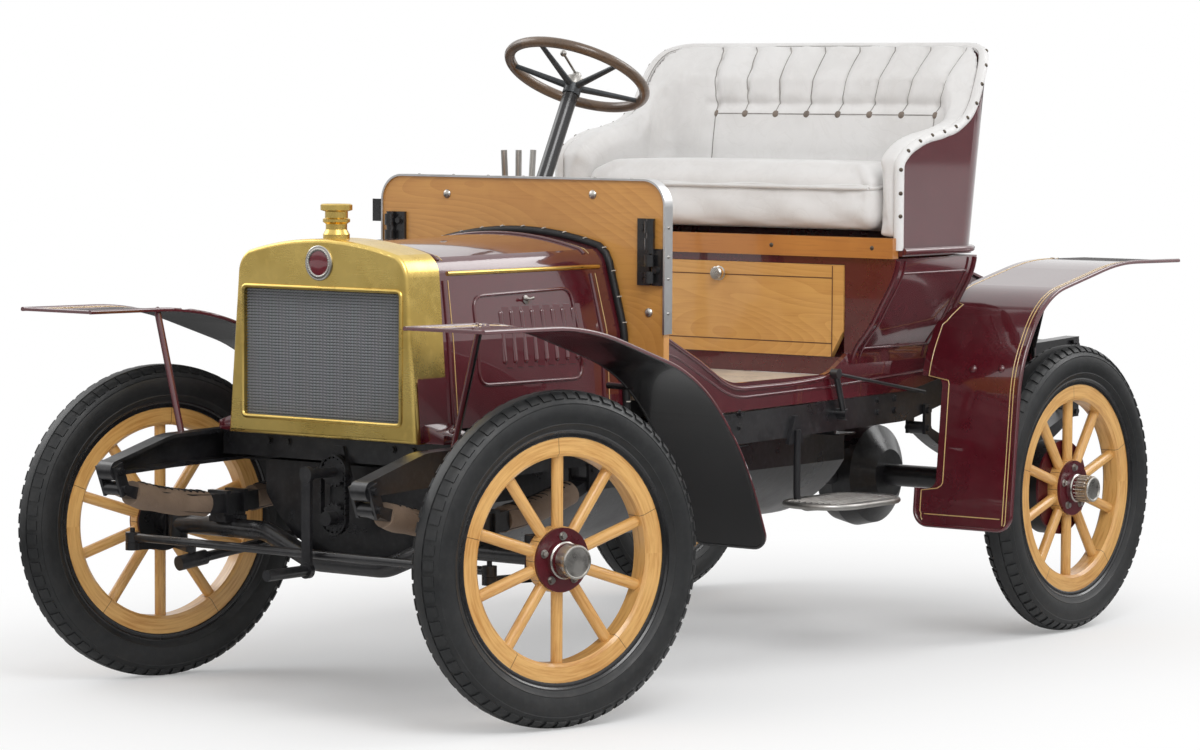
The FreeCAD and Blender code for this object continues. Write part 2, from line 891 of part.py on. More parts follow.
feature("rear_axle", make_rear_axle())


# Leaf springs as curved bars, thick in the middle, with their shackles
def leaf(front, middle, rear, thick, thin, width):
    """A bowed spring pack between two eyes; each point is the middle of the pack."""
    def edge(shift_middle, shift_end):
        a, b, c = (p + V(0, 0, s) for p, s in ((front, shift_end), (middle, shift_middle), (rear, shift_end)))
        return Part.Arc(a, b, c).toShape()

    upper, lower = edge(thick / 2, thin / 2), edge(-thick / 2, -thin / 2)
    sides = [
        Part.LineSegment(front + V(0, 0, thin / 2), front - V(0, 0, thin / 2)).toShape(),
        Part.LineSegment(rear + V(0, 0, thin / 2), rear - V(0, 0, thin / 2)).toShape(),
    ]
    face = Part.Face(Part.Wire(Part.__sortEdges__([upper, lower] + sides)))
    bar = face.extrude(V(0, width, 0))
    bar.translate(V(0, -width / 2, 0))
    eyes = [Part.makeCylinder(thin * 0.7, width, V(p.x, -width / 2, p.z), V(0, 1, 0)) for p in (front, rear)]
    return one(bar, *eyes)


def link(a, b, width, thickness, span):
    """Two shackle plates and their pins between the points a and b."""
    way = b - a
    side = V(way.z, 0, -way.x).normalize() * (width / 2)
    reach = V(way).normalize() * (width / 2)
    face = Part.Face(Part.makePolygon([a - reach + side, b + reach + side, b + reach - side, a - reach - side, a - reach + side]))
    plates = []
    for y in (-span / 2 - thickness, span / 2):
        piece = face.extrude(V(0, thickness, 0))
        piece.translate(V(0, y, 0))
        plates.append(piece)
    head = thickness * 0.8
    for y in (-span / 2 - thickness - head, span / 2 + thickness):
        plates.append(Part.makeCylinder(width * 0.28, head, V(a.x, y, a.z), V(0, 1, 0)))
    pin = Part.makeCylinder(width * 0.28, span + 2 * (thickness + head), V(b.x, -span / 2 - thickness - head, b.z), V(0, 1, 0))
    return plates + [pin]


def make_springs(end):
    width = num("leaf_width")
    x = num(FRONT_X if end == "front" else REAR_X)
    thick, thin = num("spring_middle"), num("spring_end")
    tube_d = num("beam_diameter" if end == "front" else "rear_tube_diameter")
    seat_z = num(AXLE_Z) + tube_d / 2 + num("pad_thickness") / 2
    plate_t, plate_w = num("shackle_thickness"), num("shackle_width")
    lead, trail = num(f"{end}_spring_lead"), num(f"{end}_spring_trail")
    camber = num(f"{end}_spring_camber")
    saddle = plate_t
    middle = V(x, 0, seat_z + saddle + thick / 2)
    front, rear = V(x + lead, 0, middle.z + camber), V(x - trail, 0, middle.z + camber)
    pack = leaf(front, middle, rear, thick, thin, width)
    line = frame_line()
    tip = num("horn_tip")
    if end == "front":
        tops = [V(line[0].x, 0, line[0].z - tip / 2), V(rear.x, 0, rear.z + plate_w * 1.2)]
    else:
        height = num("rail_height")
        tops = [V(front.x, 0, front.z + plate_w * 1.6), V(line[-1].x + plate_w, 0, line[-1].z - height * 0.3)]
    pieces = [pack]
    for top, eye in zip(tops, (front, rear)):
        pieces += link(top, eye, plate_w, plate_t, width)
    pad_s = num("pad_size")
    pieces.append(Part.makeBox(pad_s, width, saddle + thick / 2, V(x - pad_s / 2, -width / 2, seat_z)))
    clamp_w = num("pad_size") * 0.5
    for dx in (-clamp_w * 0.8, clamp_w * 0.8):
        strap = Part.makeBox(clamp_w * 0.4, width + 2 * plate_t, thick + plate_t)
        strap.translate(V(x + dx - clamp_w * 0.2, -width / 2 - plate_t, middle.z - thick / 2))
        pieces.append(strap)
    spring = one(*pieces)
    spring.translate(V(0, num("pad_offset"), 0))
    return pair(spring)


feature("front_springs", make_springs("front"))
feature("rear_springs", make_springs("rear"))


# Knuckles: a fork round the axle's eye, the kingpin, the stub axle and the steering arms
def make_knuckle(side):
    x, y, z = num(FRONT_X), side * num(KINGPIN_Y), num(AXLE_Z)
    eye_r, eye_h, lug = num("axle_eye_diameter") / 2, num("axle_eye_height"), num("fork_lug")
    play = num("side_play")
    top = z + eye_h / 2 + play
    low = z - eye_h / 2 - play - lug
    pieces = [
        Part.makeCylinder(eye_r, lug, V(x, y, top)),
        Part.makeCylinder(eye_r, lug, V(x, y, low)),
        Part.makeCylinder(num("kingpin_diameter") / 2, top - low + lug, V(x, y, low)),
    ]
    spindle = num("spindle_diameter")
    web = Part.makeBox(spindle, lug, top - low + lug)
    web.translate(V(x - spindle / 2, y + side * (eye_r + play) - (0 if side > 0 else lug), low))
    for height in (top, low):
        tie = Part.makeBox(spindle, eye_r + play + lug / 2, lug)
        tie.translate(V(x - spindle / 2, y if side > 0 else y - eye_r - play - lug / 2, height))
        pieces.append(tie)
    reach = num("kingpin_setback + front_cap_reach - 3 * flange_thickness")
    start = eye_r + play + lug / 2
    stub = Part.makeCylinder(spindle / 2, reach - start, V(x, y + side * start, z), V(0, side, 0))
    collar = Part.makeCylinder(
        spindle * 0.75,
        num("kingpin_setback - hub_inner_reach - side_play") - start,
        V(x, y + side * start, z),
        V(0, side, 0),
    )
    pieces += [web, stub, collar]
    arm, arm_t, arm_w = num("steering_arm"), num("arm_thickness"), num("arm_width")
    yoke_d, yoke_h = num("yoke_diameter"), num("yoke_height")
    arm_low = num("tie_rod_height - yoke_height / 2 - side_play - arm_thickness")
    forward = Part.makeBox(arm, arm_w, arm_t, V(x, y - arm_w / 2, arm_low))
    pin_d = num("rod_pin_diameter")
    knob = Part.makeCylinder(yoke_d / 2, arm_t, V(x + arm, y, arm_low))
    pin = Part.makeCylinder(pin_d / 2, arm_t + yoke_h * 1.5, V(x + arm, y, arm_low))
    pieces += [forward, knob, pin]
    if side < 0:
        lead, across = num("link_arm_lead"), num("link_arm_reach")
        way = V(lead, across, 0)
        drop = Part.makeBox(way.Length, arm_w, arm_t, V(x, y - arm_w / 2, arm_low))
        drop.rotate(V(x, y, arm_low), V(0, 0, 1), math.degrees(math.atan2(across, lead)))
        ball = Part.makeCylinder(arm_w / 2, arm_t, V(x + lead, y + across, arm_low))
        link_z = num("link_height")
        stud = Part.makeCylinder(pin_d / 2, arm_low - link_z, V(x + lead, y + across, link_z))
        pieces += [drop, ball, stud]
    solid = one(*pieces)
    solid.rotate(V(x, y, z), V(0, 0, 1), -num("rest_turn"))
    return solid


feature("knuckle_left", make_knuckle(1))
feature("knuckle_right", make_knuckle(-1))


# Track rod in front of the axle, with an eye at each end
def arm_end(side):
    """The middle of a steering arm's pin as the car stands."""
    turn = math.radians(num("rest_turn"))
    arm = num("steering_arm")
    return V(num(FRONT_X) + arm * math.cos(turn), side * num(KINGPIN_Y) - arm * math.sin(turn), num("tie_rod_height"))


def make_tie_rod():
    left, right = arm_end(1), arm_end(-1)
    yoke_d, yoke_h = num("yoke_diameter"), num("yoke_height")
    rod_d = num("tie_rod_diameter")
    inset = V(0, yoke_d / 2 - num("side_play") * 3, 0)
    low = left.z - yoke_h / 2
    bar = tube([left - inset, right + inset], [], rod_d)
    eyes = [Part.makeCylinder(yoke_d / 2, yoke_h, V(p.x, p.y, low)) for p in (left, right)]
    solid = one(bar, *eyes)
    hole = num("rod_pin_diameter / 2 + running_fit")
    loose = num("rod_pin_diameter / 2 + side_play")
    solid = solid.cut(Part.makeCylinder(hole, yoke_h * 3, V(left.x, left.y, low - yoke_h)))
    solid = solid.cut(Part.makeCylinder(loose, yoke_h * 3, V(right.x, right.y, low - yoke_h)))
    return solid.Solids[0]


feature("tie_rod", make_tie_rod())


def link_ball():
    """The middle of the drag link's ball at the right knuckle as the car stands."""
    turn = math.radians(-num("rest_turn"))
    lead, across = num("link_arm_lead"), num("link_arm_reach")
    dx = lead * math.cos(turn) - across * math.sin(turn)
    dy = lead * math.sin(turn) + across * math.cos(turn)
    return V(num(FRONT_X) + dx, -num(KINGPIN_Y) + dy, num("link_height"))


def pitman_ball():
    return at(f"{FRONT_X} - pitman_setback", "-link_rear_offset", "column_foot_height - pitman_length")


def make_drag_link():
    front, rear = link_ball(), pitman_ball()
    socket_d, socket_l = num("link_socket_diameter"), num("link_socket_length")
    bar = tube([front, rear], [], num("link_diameter"))
    way = (rear - front).normalize()
    ends = [
        Part.makeCylinder(socket_d / 2, socket_l, front - way * (socket_l * 0.45), way),
        Part.makeCylinder(socket_d / 2, socket_l, rear - way * (socket_l * 0.55), way),
    ]
    hole = num("rod_pin_diameter / 2 + running_fit")
    seat = front - V(0, 0, num("side_play"))
    return one(bar, *ends).cut(Part.makeCylinder(hole, socket_d, seat)).Solids[0]


feature("drag_link", make_drag_link())


def make_pitman():
    ball = pitman_ball()
    thick, length = num("pitman_thickness"), num("pitman_length")
    foot = num("column_foot_height")
    near = ball.y - num("link_socket_diameter / 2 + link_drift")
    y = near - thick
    arm_w = num("arm_width")
    boss = Part.makeCylinder(num("pitman_shaft_diameter"), thick, V(ball.x, y, foot), V(0, 1, 0))
    arm = Part.makeBox(arm_w, thick, length, V(ball.x - arm_w / 2, y, foot - length))
    end = Part.makeCylinder(arm_w / 2, thick, V(ball.x, y, foot - length), V(0, 1, 0))
    shaft_end = -num("column_offset + box_width / 2 - pitman_shaft_seat")
    shaft = Part.makeCylinder(num("pitman_shaft_diameter") / 2, shaft_end - y, V(ball.x, y, foot), V(0, 1, 0))
    return one(boss, arm, end, shaft)


feature("pitman_arm", make_pitman())


# Steering column: gear case on the frame and the outer tube, with the turning shaft and wheel above
def column_way():
    rake = math.radians(num("column_angle"))
    return V(-math.sin(rake), 0, math.cos(rake))


def column_foot():
    return at(f"{FRONT_X} - pitman_setback", "-column_offset", "column_foot_height")


def wheel_centre():
    foot, way = column_foot(), column_way()
    return foot + way * ((num("hand_wheel_height") - foot.z) / way.z)


def make_column():
    foot, way, top = column_foot(), column_way(), wheel_centre()
    length, width, height = num("box_length"), num("box_width"), num("box_height")
    case = Part.makeBox(length, width, height, foot - V(length / 2, width / 2, height / 2))
    case = case.makeFillet(width / 6, case.Edges)
    reach = (top - foot).Length - num("hand_wheel_dish + hand_wheel_hub / 2 + side_play")
    tube_r = num("column_diameter") / 2
    outer = Part.makeCylinder(tube_r, reach, foot, way)
    arm_y = num("rail_gauge / 2 - rail_width / 2")
    bracket = Part.makeBox(length * 0.6, arm_y - num("column_offset") + width * 0.2, height * 0.12)
    bracket.translate(V(foot.x - length * 0.3, -arm_y, foot.z + height * 0.25))
    solid = one(case, outer, bracket)
    bore = Part.makeCylinder(num("shaft_diameter / 2 + running_fit"), reach, foot + way * height, way)
    side = at(f"{FRONT_X} - pitman_setback", "-column_offset - box_width", "column_foot_height")
    deep = num("box_width / 2 + pitman_shaft_seat + side_play")
    socket = Part.makeCylinder(num("pitman_shaft_diameter / 2 + running_fit"), deep, side, V(0, 1, 0))
    return solid.cut(bore).cut(socket).Solids[0]


feature("steering_column", make_column())


def make_hand_wheel():
    centre, way, foot = wheel_centre(), column_way(), column_foot()
    rim_d, rim_t = num("hand_wheel_diameter"), num("hand_wheel_rim")
    radius = (rim_d - rim_t) / 2
    rim = Part.makeTorus(radius, rim_t / 2, V(0, 0, 0), V(0, 0, 1))
    dish, hub = num("hand_wheel_dish"), num("hand_wheel_hub")
    boss = Part.makeCylinder(hub / 2, hub, V(0, 0, -dish - hub / 2))
    pieces = [rim, boss]
    bar = num("hand_wheel_spoke")
    for i in range(5):
        angle = 2 * math.pi * i / 5
        out = V(math.cos(angle), math.sin(angle), 0)
        start = out * (hub * 0.3) + V(0, 0, -dish)
        end = out * radius
        span = end - start
        pieces.append(Part.makeCone(bar * 0.65, bar * 0.42, span.Length, start, span))
    reach = (centre - foot).Length - num("box_height") - num("overrun")
    pieces.append(Part.makeCylinder(num("shaft_diameter") / 2, reach, V(0, 0, -reach)))
    solid = one(*pieces)
    solid.Placement = FreeCAD.Placement(centre, FreeCAD.Rotation(V(0, 0, 1), way))
    return solid


feature("steering_wheel", make_hand_wheel())


# Engine tray under the bonnet and floor
def make_shield():
    half, top = num("shield_half_width"), num("shield_top_height")
    side, bottom = num("shield_side_height"), num("shield_bottom_height")
    sheet_t = num("shield_sheet")
    front, rear = num(f"{FRONT_X} - shield_setback"), num(f"{FRONT_X} - shield_trail")

    def section(shrink):
        h = half - shrink
        low = bottom + shrink
        edges = [
            Part.LineSegment(V(front, -h, top), V(front, -h, side)).toShape(),
            Part.Arc(V(front, -h, side), V(front, 0, low), V(front, h, side)).toShape(),
            Part.LineSegment(V(front, h, side), V(front, h, top)).toShape(),
            Part.LineSegment(V(front, h, top), V(front, -h, top)).toShape(),
        ]
        return Part.Face(Part.Wire(edges))

    outer = section(0).extrude(V(rear - front, 0, 0))
    inner = section(sheet_t).extrude(V(rear - front, 0, 0))
    inner.translate(V(-sheet_t, 0, 0))
    tray = outer.cut(inner)
    flange = num("rail_gauge / 2 - rail_width / 2") - half
    tab_shares = (0.02, 0.34, 0.64, 0.94)
    tab = num("pad_size")
    for share in tab_shares:
        x = front + (rear - front) * share - tab / 2
        for y in (-half - flange, half - sheet_t):
            tray = tray.fuse(Part.makeBox(tab, flange + sheet_t, sheet_t, V(min(x, front - tab), y, top - sheet_t)))
    return tray.removeSplitter().Solids[0]


feature("undershield", make_shield())


# Engine and gearbox as plain masses in their real place, with the shaft to the rear axle
def make_engine():
    block = box(
        f"{FRONT_X} - engine_setback - engine_length / 2",
        "-engine_width / 2",
        "engine_base_height",
        "engine_length",
        "engine_width",
        "engine_height",
    )
    gears = box(
        f"{FRONT_X} - gearbox_setback - gearbox_length / 2",
        "-gearbox_width / 2",
        "gearbox_base_height",
        "gearbox_length",
        "gearbox_width",
        "gearbox_height",
    )
    joint = f"{FRONT_X} - gearbox_setback"
    middle = rod(
        joint,
        "0",
        f"{AXLE_Z} + shaft_tube_diameter",
        "shaft_tube_diameter * 1.6",
        f"gearbox_setback - engine_setback",
        "x",
    )
    arms = box(
        f"{FRONT_X} - engine_setback - engine_length / 2 + engine_length / 16",
        "-(rail_gauge - rail_width) / 2",
        "shield_top_height",
        "engine_length / 8",
        "rail_gauge - rail_width",
        "shield_sheet * 6",
    )
    arms_rear = box(
        f"{FRONT_X} - gearbox_setback - gearbox_length / 4",
        "-(rail_gauge - rail_width) / 2",
        "shield_top_height",
        "gearbox_length / 8",
        "rail_gauge - rail_width",
        "shield_sheet * 6",
    )
    return fuse(block, gears, middle, arms, arms_rear)


node("engine", make_engine())


def make_propshaft():
    start = at(f"{FRONT_X} - gearbox_setback - gearbox_length / 2 - side_play * 2", "0", f"{AXLE_Z} + shaft_tube_diameter")
    end = at(f"{REAR_X} + differential_diameter / 2 + side_play", "0", AXLE_Z)
    shaft = tube([start, end], [], num("shaft_tube_diameter"))
    return shaft


feature("propshaft", make_propshaft())


# Radiator: brass shell with an arched top, finned core and filler cap
def arch(x, half_low, z_low, half_high, z_high, top, corner, shrink):
    """A bonnet or radiator outline across the car at x, made smaller all round by shrink."""
    low, high, peak = half_low - shrink, half_high - shrink, top - shrink
    shoulder = V(x, high, z_high)
    bend = V(x, high - corner * 0.55, z_high + (peak - z_high) * 0.62)
    crown = V(x, 0, peak)
    mirror = lambda p: V(p.x, -p.y, p.z)
    corner_mid = V(x, high - corner * 0.16, z_high + (peak - z_high) * 0.36)
    crown_mid = V(x, high * 0.45, peak - (peak - bend.z) * 0.24)
    arc = [
        Part.LineSegment(V(x, low, z_low), shoulder).toShape(),
        Part.Arc(shoulder, corner_mid, bend).toShape(),
        Part.Arc(bend, crown, mirror(bend)).toShape(),
        Part.Arc(mirror(bend), mirror(corner_mid), mirror(shoulder)).toShape(),
        Part.LineSegment(mirror(shoulder), V(x, -low, z_low)).toShape(),
    ]
    return arc


def make_radiator_shell():
    x, depth = num(RADIATOR_X), num("radiator_depth")
    base = num("shell_base_height")
    arc = arch(
        x,
        num("shell_base_half"),
        base,
        num("shell_shoulder_half"),
        num("shell_shoulder_height"),
        num("shell_top_height"),
        num("shell_corner"),
        0,
    )
    foot = Part.LineSegment(V(x, -num("shell_base_half"), base), V(x, num("shell_base_half"), base)).toShape()
    solid = Part.Face(Part.Wire(arc + [foot])).extrude(V(-depth, 0, 0))
    front_edges = [e for e in solid.Edges if all(abs(v.X - x) < 1e-3 for v in e.Vertexes)]
    solid = solid.makeFillet(num("shell_corner") * 0.16, front_edges)
    half, low, high = num("core_half"), num("core_low"), num("core_high")
    recess = num("core_recess")
    window = Part.makeBox(depth, 2 * half, high - low, V(x - depth / 2, -half, low))
    upright = [e for e in window.Edges if abs(e.Vertexes[0].Y - e.Vertexes[1].Y) < 1e-6 and abs(e.Vertexes[0].Z - e.Vertexes[1].Z) < 1e-6]
    window = window.makeFillet(num("shell_corner") * 0.2, upright)
    solid = solid.cut(window)
    solid = solid.cut(Part.makeBox(depth, 2 * half, high - low, V(x - recess - depth, -half, low)))
    neck_x = num(f"{RADIATOR_X} - neck_setback")
    top = num("shell_top_height")
    neck_r, cap_r, height = num("neck_diameter") / 2, num("cap_diameter") / 2, num("cap_height")
    step_shares = (
        (1.0, -0.3),
        (1.0, 0.12),
        (0.8, 0.26),
        (0.8, 0.42),
        (1.02, 0.48),
        (1.02, 0.56),
        (0.86, 0.6),
        (0.86, 0.78),
    )
    outline = [V(neck_x, 0, top - 0.3 * height)]
    outline += [V(neck_x + neck_r * a, 0, top + height * b) for a, b in step_shares]
    outline += [V(neck_x + cap_r, 0, top + height * 0.82), V(neck_x + cap_r, 0, top + height * 0.97)]
    outline += [V(neck_x + cap_r * 0.9, 0, top + height), V(neck_x, 0, top + height)]
    cap = Part.Face(Part.makePolygon(outline + [outline[0]])).revolve(V(neck_x, 0, 0), V(0, 0, 1), 360)
    return one(solid, cap)


feature("radiator_shell", make_radiator_shell())


def make_core():
    body = new_body("radiator_core")
    sketch = new_sketch(body, "YZ_Plane", f"{RADIATOR_X} - core_recess - core_depth")
    gap = "joint_gap"
    trace(
        sketch,
        [
            (f"-core_half + {gap}", f"core_low + {gap}"),
            (f"core_half - {gap}", f"core_low + {gap}"),
            (f"core_half - {gap}", f"core_high - {gap}"),
            (f"-core_half + {gap}", f"core_high - {gap}"),
        ],
    )
    pad(body, sketch, "core_depth")
    pitch = "(core_high - core_low) / (fin_count + 1)"
    groove = new_sketch(body, "YZ_Plane", f"{RADIATOR_X} - core_recess")
    trace(
        groove,
        [
            ("-core_half + fin_depth", f"core_low + {pitch} * 0.75"),
            ("core_half - fin_depth", f"core_low + {pitch} * 0.75"),
            ("core_half - fin_depth", f"core_low + {pitch} * 1.25"),
            ("-core_half + fin_depth", f"core_low + {pitch} * 1.25"),
        ],
    )
    slot = pocket(body, groove, "fin_depth")
    pattern = body.newObject("PartDesign::LinearPattern", "Fins")
    pattern.Originals = [slot]
    line = next(o for o in body.Origin.OriginFeatures if o.Role == "Z_Axis")
    pattern.Direction = (line, [""])
    pattern.setExpression("Length", linked(f"{pitch} * (fin_count - 1)"))
    pattern.setExpression("Occurrences", linked("fin_count"))
    body.Tip = pattern


make_core()


# Bonnet: fixed sides with louvres and a lid between the two long hinges
def bonnet_side():
    front, rear = num(f"{SHELL_BACK_X} - joint_gap"), num(f"{DASH_X} + joint_gap")
    t = num("bonnet_sheet")

    def strip(x, base, waist, hinge):
        outer = [
            V(x, base, num("bonnet_base_height")),
            V(x, waist, num("bonnet_waist_height")),
            V(x, hinge, num("hinge_height")),
        ]
        inner = [p - V(0, t, 0) for p in outer]
        ring_points = [
            outer[0], outer[1], outer[2],
            inner[2], inner[1], inner[0],
        ]
        return Part.makePolygon(ring_points + [ring_points[0]])

    a = strip(front, num("bonnet_base_front_half"), num("bonnet_waist_front_half"), num("hinge_front_half"))
    b = strip(rear, num("bonnet_base_rear_half"), num("bonnet_waist_rear_half"), num("hinge_rear_half"))
    side = Part.makeLoft([a, b], True, True)
    pitch, width = num("louvre_pitch"), num("louvre_width")
    low, height, proud = num("louvre_base_height"), num("louvre_height"), num("louvre_proud")
    for i in range(int(num("louvre_count"))):
        x = num(f"{FRONT_X} - louvre_setback") - i * pitch
        s = (front - x) / (front - rear)
        y_low = num("bonnet_waist_front_half") * (1 - s) + num("bonnet_waist_rear_half") * s
        y_top = num("hinge_front_half") * (1 - s) + num("hinge_rear_half") * s
        waist, top = num("bonnet_waist_height"), num("hinge_height")
        along = (low + height - waist) / (top - waist)
        y_high = y_low + (y_top - y_low) * along
        y_base = y_low + (num("bonnet_base_front_half") * (1 - s) + num("bonnet_base_rear_half") * s - y_low) * (
            (waist - low) / (waist - num("bonnet_base_height"))
        )
        wedge = [V(x, y_base - t / 2, low), V(x - width, y_base - t / 2, low), V(x - width, y_base + proud, low)]
        cap = [
            V(x, y_high - t / 2, low + height),
            V(x - width, y_high - t / 2, low + height),
            V(x - width, y_high + proud, low + height),
        ]
        middle = [
            V(x, y_low - t / 2, waist),
            V(x - width, y_low - t / 2, waist),
            V(x - width, y_low + proud, waist),
        ]
        lower = Part.makeLoft([Part.makePolygon(w + [w[0]]) for w in (wedge, middle)], True, True)
        upper = Part.makeLoft([Part.makePolygon(w + [w[0]]) for w in (middle, cap)], True, True)
        side = side.fuse([lower, upper])
    return side.removeSplitter().Solids[0]


feature("bonnet_sides", pair(bonnet_side()))


def make_lid():
    front, rear = num(f"{SHELL_BACK_X} - bonnet_gap"), num(f"{DASH_X} + bonnet_gap")
    t, gap = num("bonnet_sheet"), num("joint_gap")
    z = num("hinge_height") + gap

    def strip(x, half, top):
        spread = half * 0.9
        lift = z + (top - z) * 0.55
        edges = []
        for h, s, l, p in ((half, spread, lift, top), (half - t, spread - t, lift - t * 0.6, top - t)):
            edges.append((V(x, h, z), V(x, s, l), V(x, 0, p)))
        points = []
        outer = edges[0]
        inner = edges[1]
        o1 = Part.Arc(outer[0], V(x, (outer[0].y + outer[1].y) / 2 + (outer[0].y - outer[1].y) * 0.22, (outer[0].z + outer[1].z) / 2), outer[1])
        o2 = Part.Arc(outer[1], outer[2], V(x, -outer[1].y, outer[1].z))
        o3 = Part.Arc(V(x, -outer[1].y, outer[1].z), V(x, -((outer[0].y + outer[1].y) / 2 + (outer[0].y - outer[1].y) * 0.22), (outer[0].z + outer[1].z) / 2), V(x, -outer[0].y, z))
        i1 = Part.Arc(V(x, -inner[0].y, z), V(x, -((inner[0].y + inner[1].y) / 2 + (inner[0].y - inner[1].y) * 0.22), (inner[0].z + inner[1].z) / 2), V(x, -inner[1].y, inner[1].z))
        i2 = Part.Arc(V(x, -inner[1].y, inner[1].z), inner[2], inner[1])
        i3 = Part.Arc(inner[1], V(x, (inner[0].y + inner[1].y) / 2 + (inner[0].y - inner[1].y) * 0.22, (inner[0].z + inner[1].z) / 2), inner[0])
        lines = [Part.LineSegment(V(x, -outer[0].y, z), V(x, -inner[0].y, z)), Part.LineSegment(inner[0], outer[0])]
        return Part.Wire([e.toShape() for e in (o1, o2, o3, lines[0], i1, i2, i3, lines[1])])

    a = strip(front, num("hinge_front_half"), num("bonnet_top_front"))
    b = strip(rear, num("hinge_rear_half"), num("bonnet_top_rear"))
    return Part.makeLoft([a, b], True, True)


feature("bonnet_lid", make_lid())


# Dash board of varnished ply with its metal edge and two bracket hinges
def dash_outline(body, grow, role="YZ_Plane"):
    sketch = new_sketch(body, role, f"{DASH_X} - dash_thickness")
    half, top, base = f"dash_half + {grow}", f"dash_top + {grow}", "dash_base"
    corner = "dash_corner"
    trace(
        sketch,
        [
            (f"-({half})", base),
            (half, base),
            (half, f"{top} - {corner}"),
            (f"{half} - {corner}", top, corner, 1),
            (f"-({half}) + {corner}", top),
            (f"-({half})", f"{top} - {corner}", corner, 1),
        ],
    )
    return sketch


DASH = new_body("dash_board")
pad(DASH, dash_outline(DASH, "0 * trim_proud"), "dash_thickness")

TRIM = new_body("dash_trim")
TRIM_SKETCH = new_sketch(TRIM, "YZ_Plane", f"{DASH_X} - (dash_thickness + trim_width) / 2")
HALF, TOP = "dash_half", "dash_top"
trace(
    TRIM_SKETCH,
    [
        (f"{HALF}", "scuttle_height"),
        (f"{HALF} + trim_proud", "scuttle_height"),
        (f"{HALF} + trim_proud", f"{TOP} - dash_corner"),
        (f"{HALF} - dash_corner", f"{TOP} + trim_proud", "dash_corner + trim_proud", 1),
        (f"-{HALF} + dash_corner", f"{TOP} + trim_proud"),
        (f"-{HALF} - trim_proud", f"{TOP} - dash_corner", "dash_corner + trim_proud", 1),
        (f"-{HALF} - trim_proud", "scuttle_height"),
        (f"-{HALF}", "scuttle_height"),
        (f"-{HALF}", f"{TOP} - dash_corner"),
        (f"-{HALF} + dash_corner", TOP, "dash_corner", -1),
        (f"{HALF} - dash_corner", TOP),
        (HALF, f"{TOP} - dash_corner", "dash_corner", -1),
    ],
)
pad(TRIM, TRIM_SKETCH, "trim_width")


def make_brackets():
    x = num(DASH_X)
    width, height, thick = num("bracket_width"), num("bracket_height"), num("bracket_thickness")
    edge, top, barrel = num("bracket_edge"), num("bracket_top"), num("bracket_barrel")
    leaf_plate = Part.makeBox(thick, width * 0.5, height, V(x, edge - width, top - height))
    post = Part.makeCylinder(barrel / 2, height * 0.52, V(x + barrel / 2, edge - width * 0.42, top - height * 0.52))
    wing = Part.makeBox(thick, width * 0.42, height * 0.55, V(x, edge - width * 0.42, top - height))
    bore = Part.makeCylinder(num("bracket_bore") / 2, height, V(x + barrel / 2, edge - width * 0.42, top - height))
    return pair(one(leaf_plate, post, wing).cut(bore).Solids[0])


feature("dash_brackets", make_brackets())


# Body: low sides with the entry cut away, flared seat box, tail and deck
def floor_with_toe():
    x = num(f"{DASH_X} - dash_thickness")
    half = num("body_half - body_wall")
    top, thick = num("floor_height"), num("floor_thickness")
    rise, run = num("toe_rise"), num("toe_run")
    start = num(f"{SEAT_X} + joint_gap")
    outline = [
        V(start, -half, top - thick),
        V(x, -half, top - thick),
        V(x, -half, top + rise),
        V(x - thick, -half, top + rise),
        V(x - run, -half, top),
        V(start, -half, top),
    ]
    board = plate(outline, V(0, 2 * half, 0))
    foot, way = column_foot(), column_way()
    hole = Part.makeCylinder(num("column_diameter / 2 + side_play"), num("hand_wheel_height"), foot, way)
    return board.cut(hole).Solids[0]


feature("floor", floor_with_toe())


def make_low_side():
    """One low body side from the dash to the tail."""
    half, wall = num("body_half"), num("body_wall")
    base = num(RAIL_TOP)
    x0 = num(f"{DASH_X} - dash_thickness - joint_gap")
    seat, tail = num(SEAT_X), num(f"{FRONT_X} - tail_setback")
    sill, scuttle = num("sill_height"), num("scuttle_height")
    run = num("scuttle_run")
    front_base = num("rail_front_height + rail_rise * 0.62")
    upper = num("flare_height") * 0.2 + sill * 0.8
    top = [V(x0, 0, scuttle), V(x0 - run, 0, sill), V(seat + run * 0.3, 0, sill), V(seat - wall, 0, upper)]
    way = rounded(top, [run * 0.7, run * 0.5])
    edges = way.Edges + [
        Part.LineSegment(V(seat - wall, 0, upper), V(tail, 0, upper)).toShape(),
        Part.LineSegment(V(tail, 0, upper), V(tail, 0, base + num("kick_up"))).toShape(),
        Part.LineSegment(V(tail, 0, base + num("kick_up")), V(seat - run, 0, base + num("joint_gap"))).toShape(),
        Part.LineSegment(V(seat - run, 0, base + num("joint_gap")), V(x0, 0, front_base)).toShape(),
        Part.LineSegment(V(x0, 0, front_base), V(x0, 0, scuttle)).toShape(),
    ]
    face = Part.Face(Part.Wire(Part.__sortEdges__(edges)))
    board = face.extrude(V(0, wall, 0))
    board.translate(V(0, half - wall, 0))
    return board


def flare_curve(x, shrink):
    """The body side's section at x from the sill up to the seat, as points."""
    low, high = num("sill_height"), num("flare_height")
    inner, outer = num("body_half") - shrink, num("flare_half") - shrink
    points = []
    for up, out in ((0.07, 0.0), (0.23, 0.12), (0.4, 0.4), (0.6, 0.64), (0.78, 0.86), (1.0, 1.0)):
        points.append(V(x, inner + (outer - inner) * out, low + (high - low) * up))
    return points


def flare_wire(x, wall, squeeze=1.0, crop=1.0):
    outer = flare_curve(x, 0)
    inner = [p - V(0, wall, 0) for p in outer]
    spline_out = Part.BSplineCurve()
    spline_out.interpolate(outer)
    spline_in = Part.BSplineCurve()
    spline_in.interpolate(list(reversed(inner)))
    edges = [
        spline_out.toShape(),
        Part.LineSegment(outer[-1], inner[-1]).toShape(),
        spline_in.toShape(),
        Part.LineSegment(inner[0], outer[0]).toShape(),
    ]
    return Part.Wire(edges)


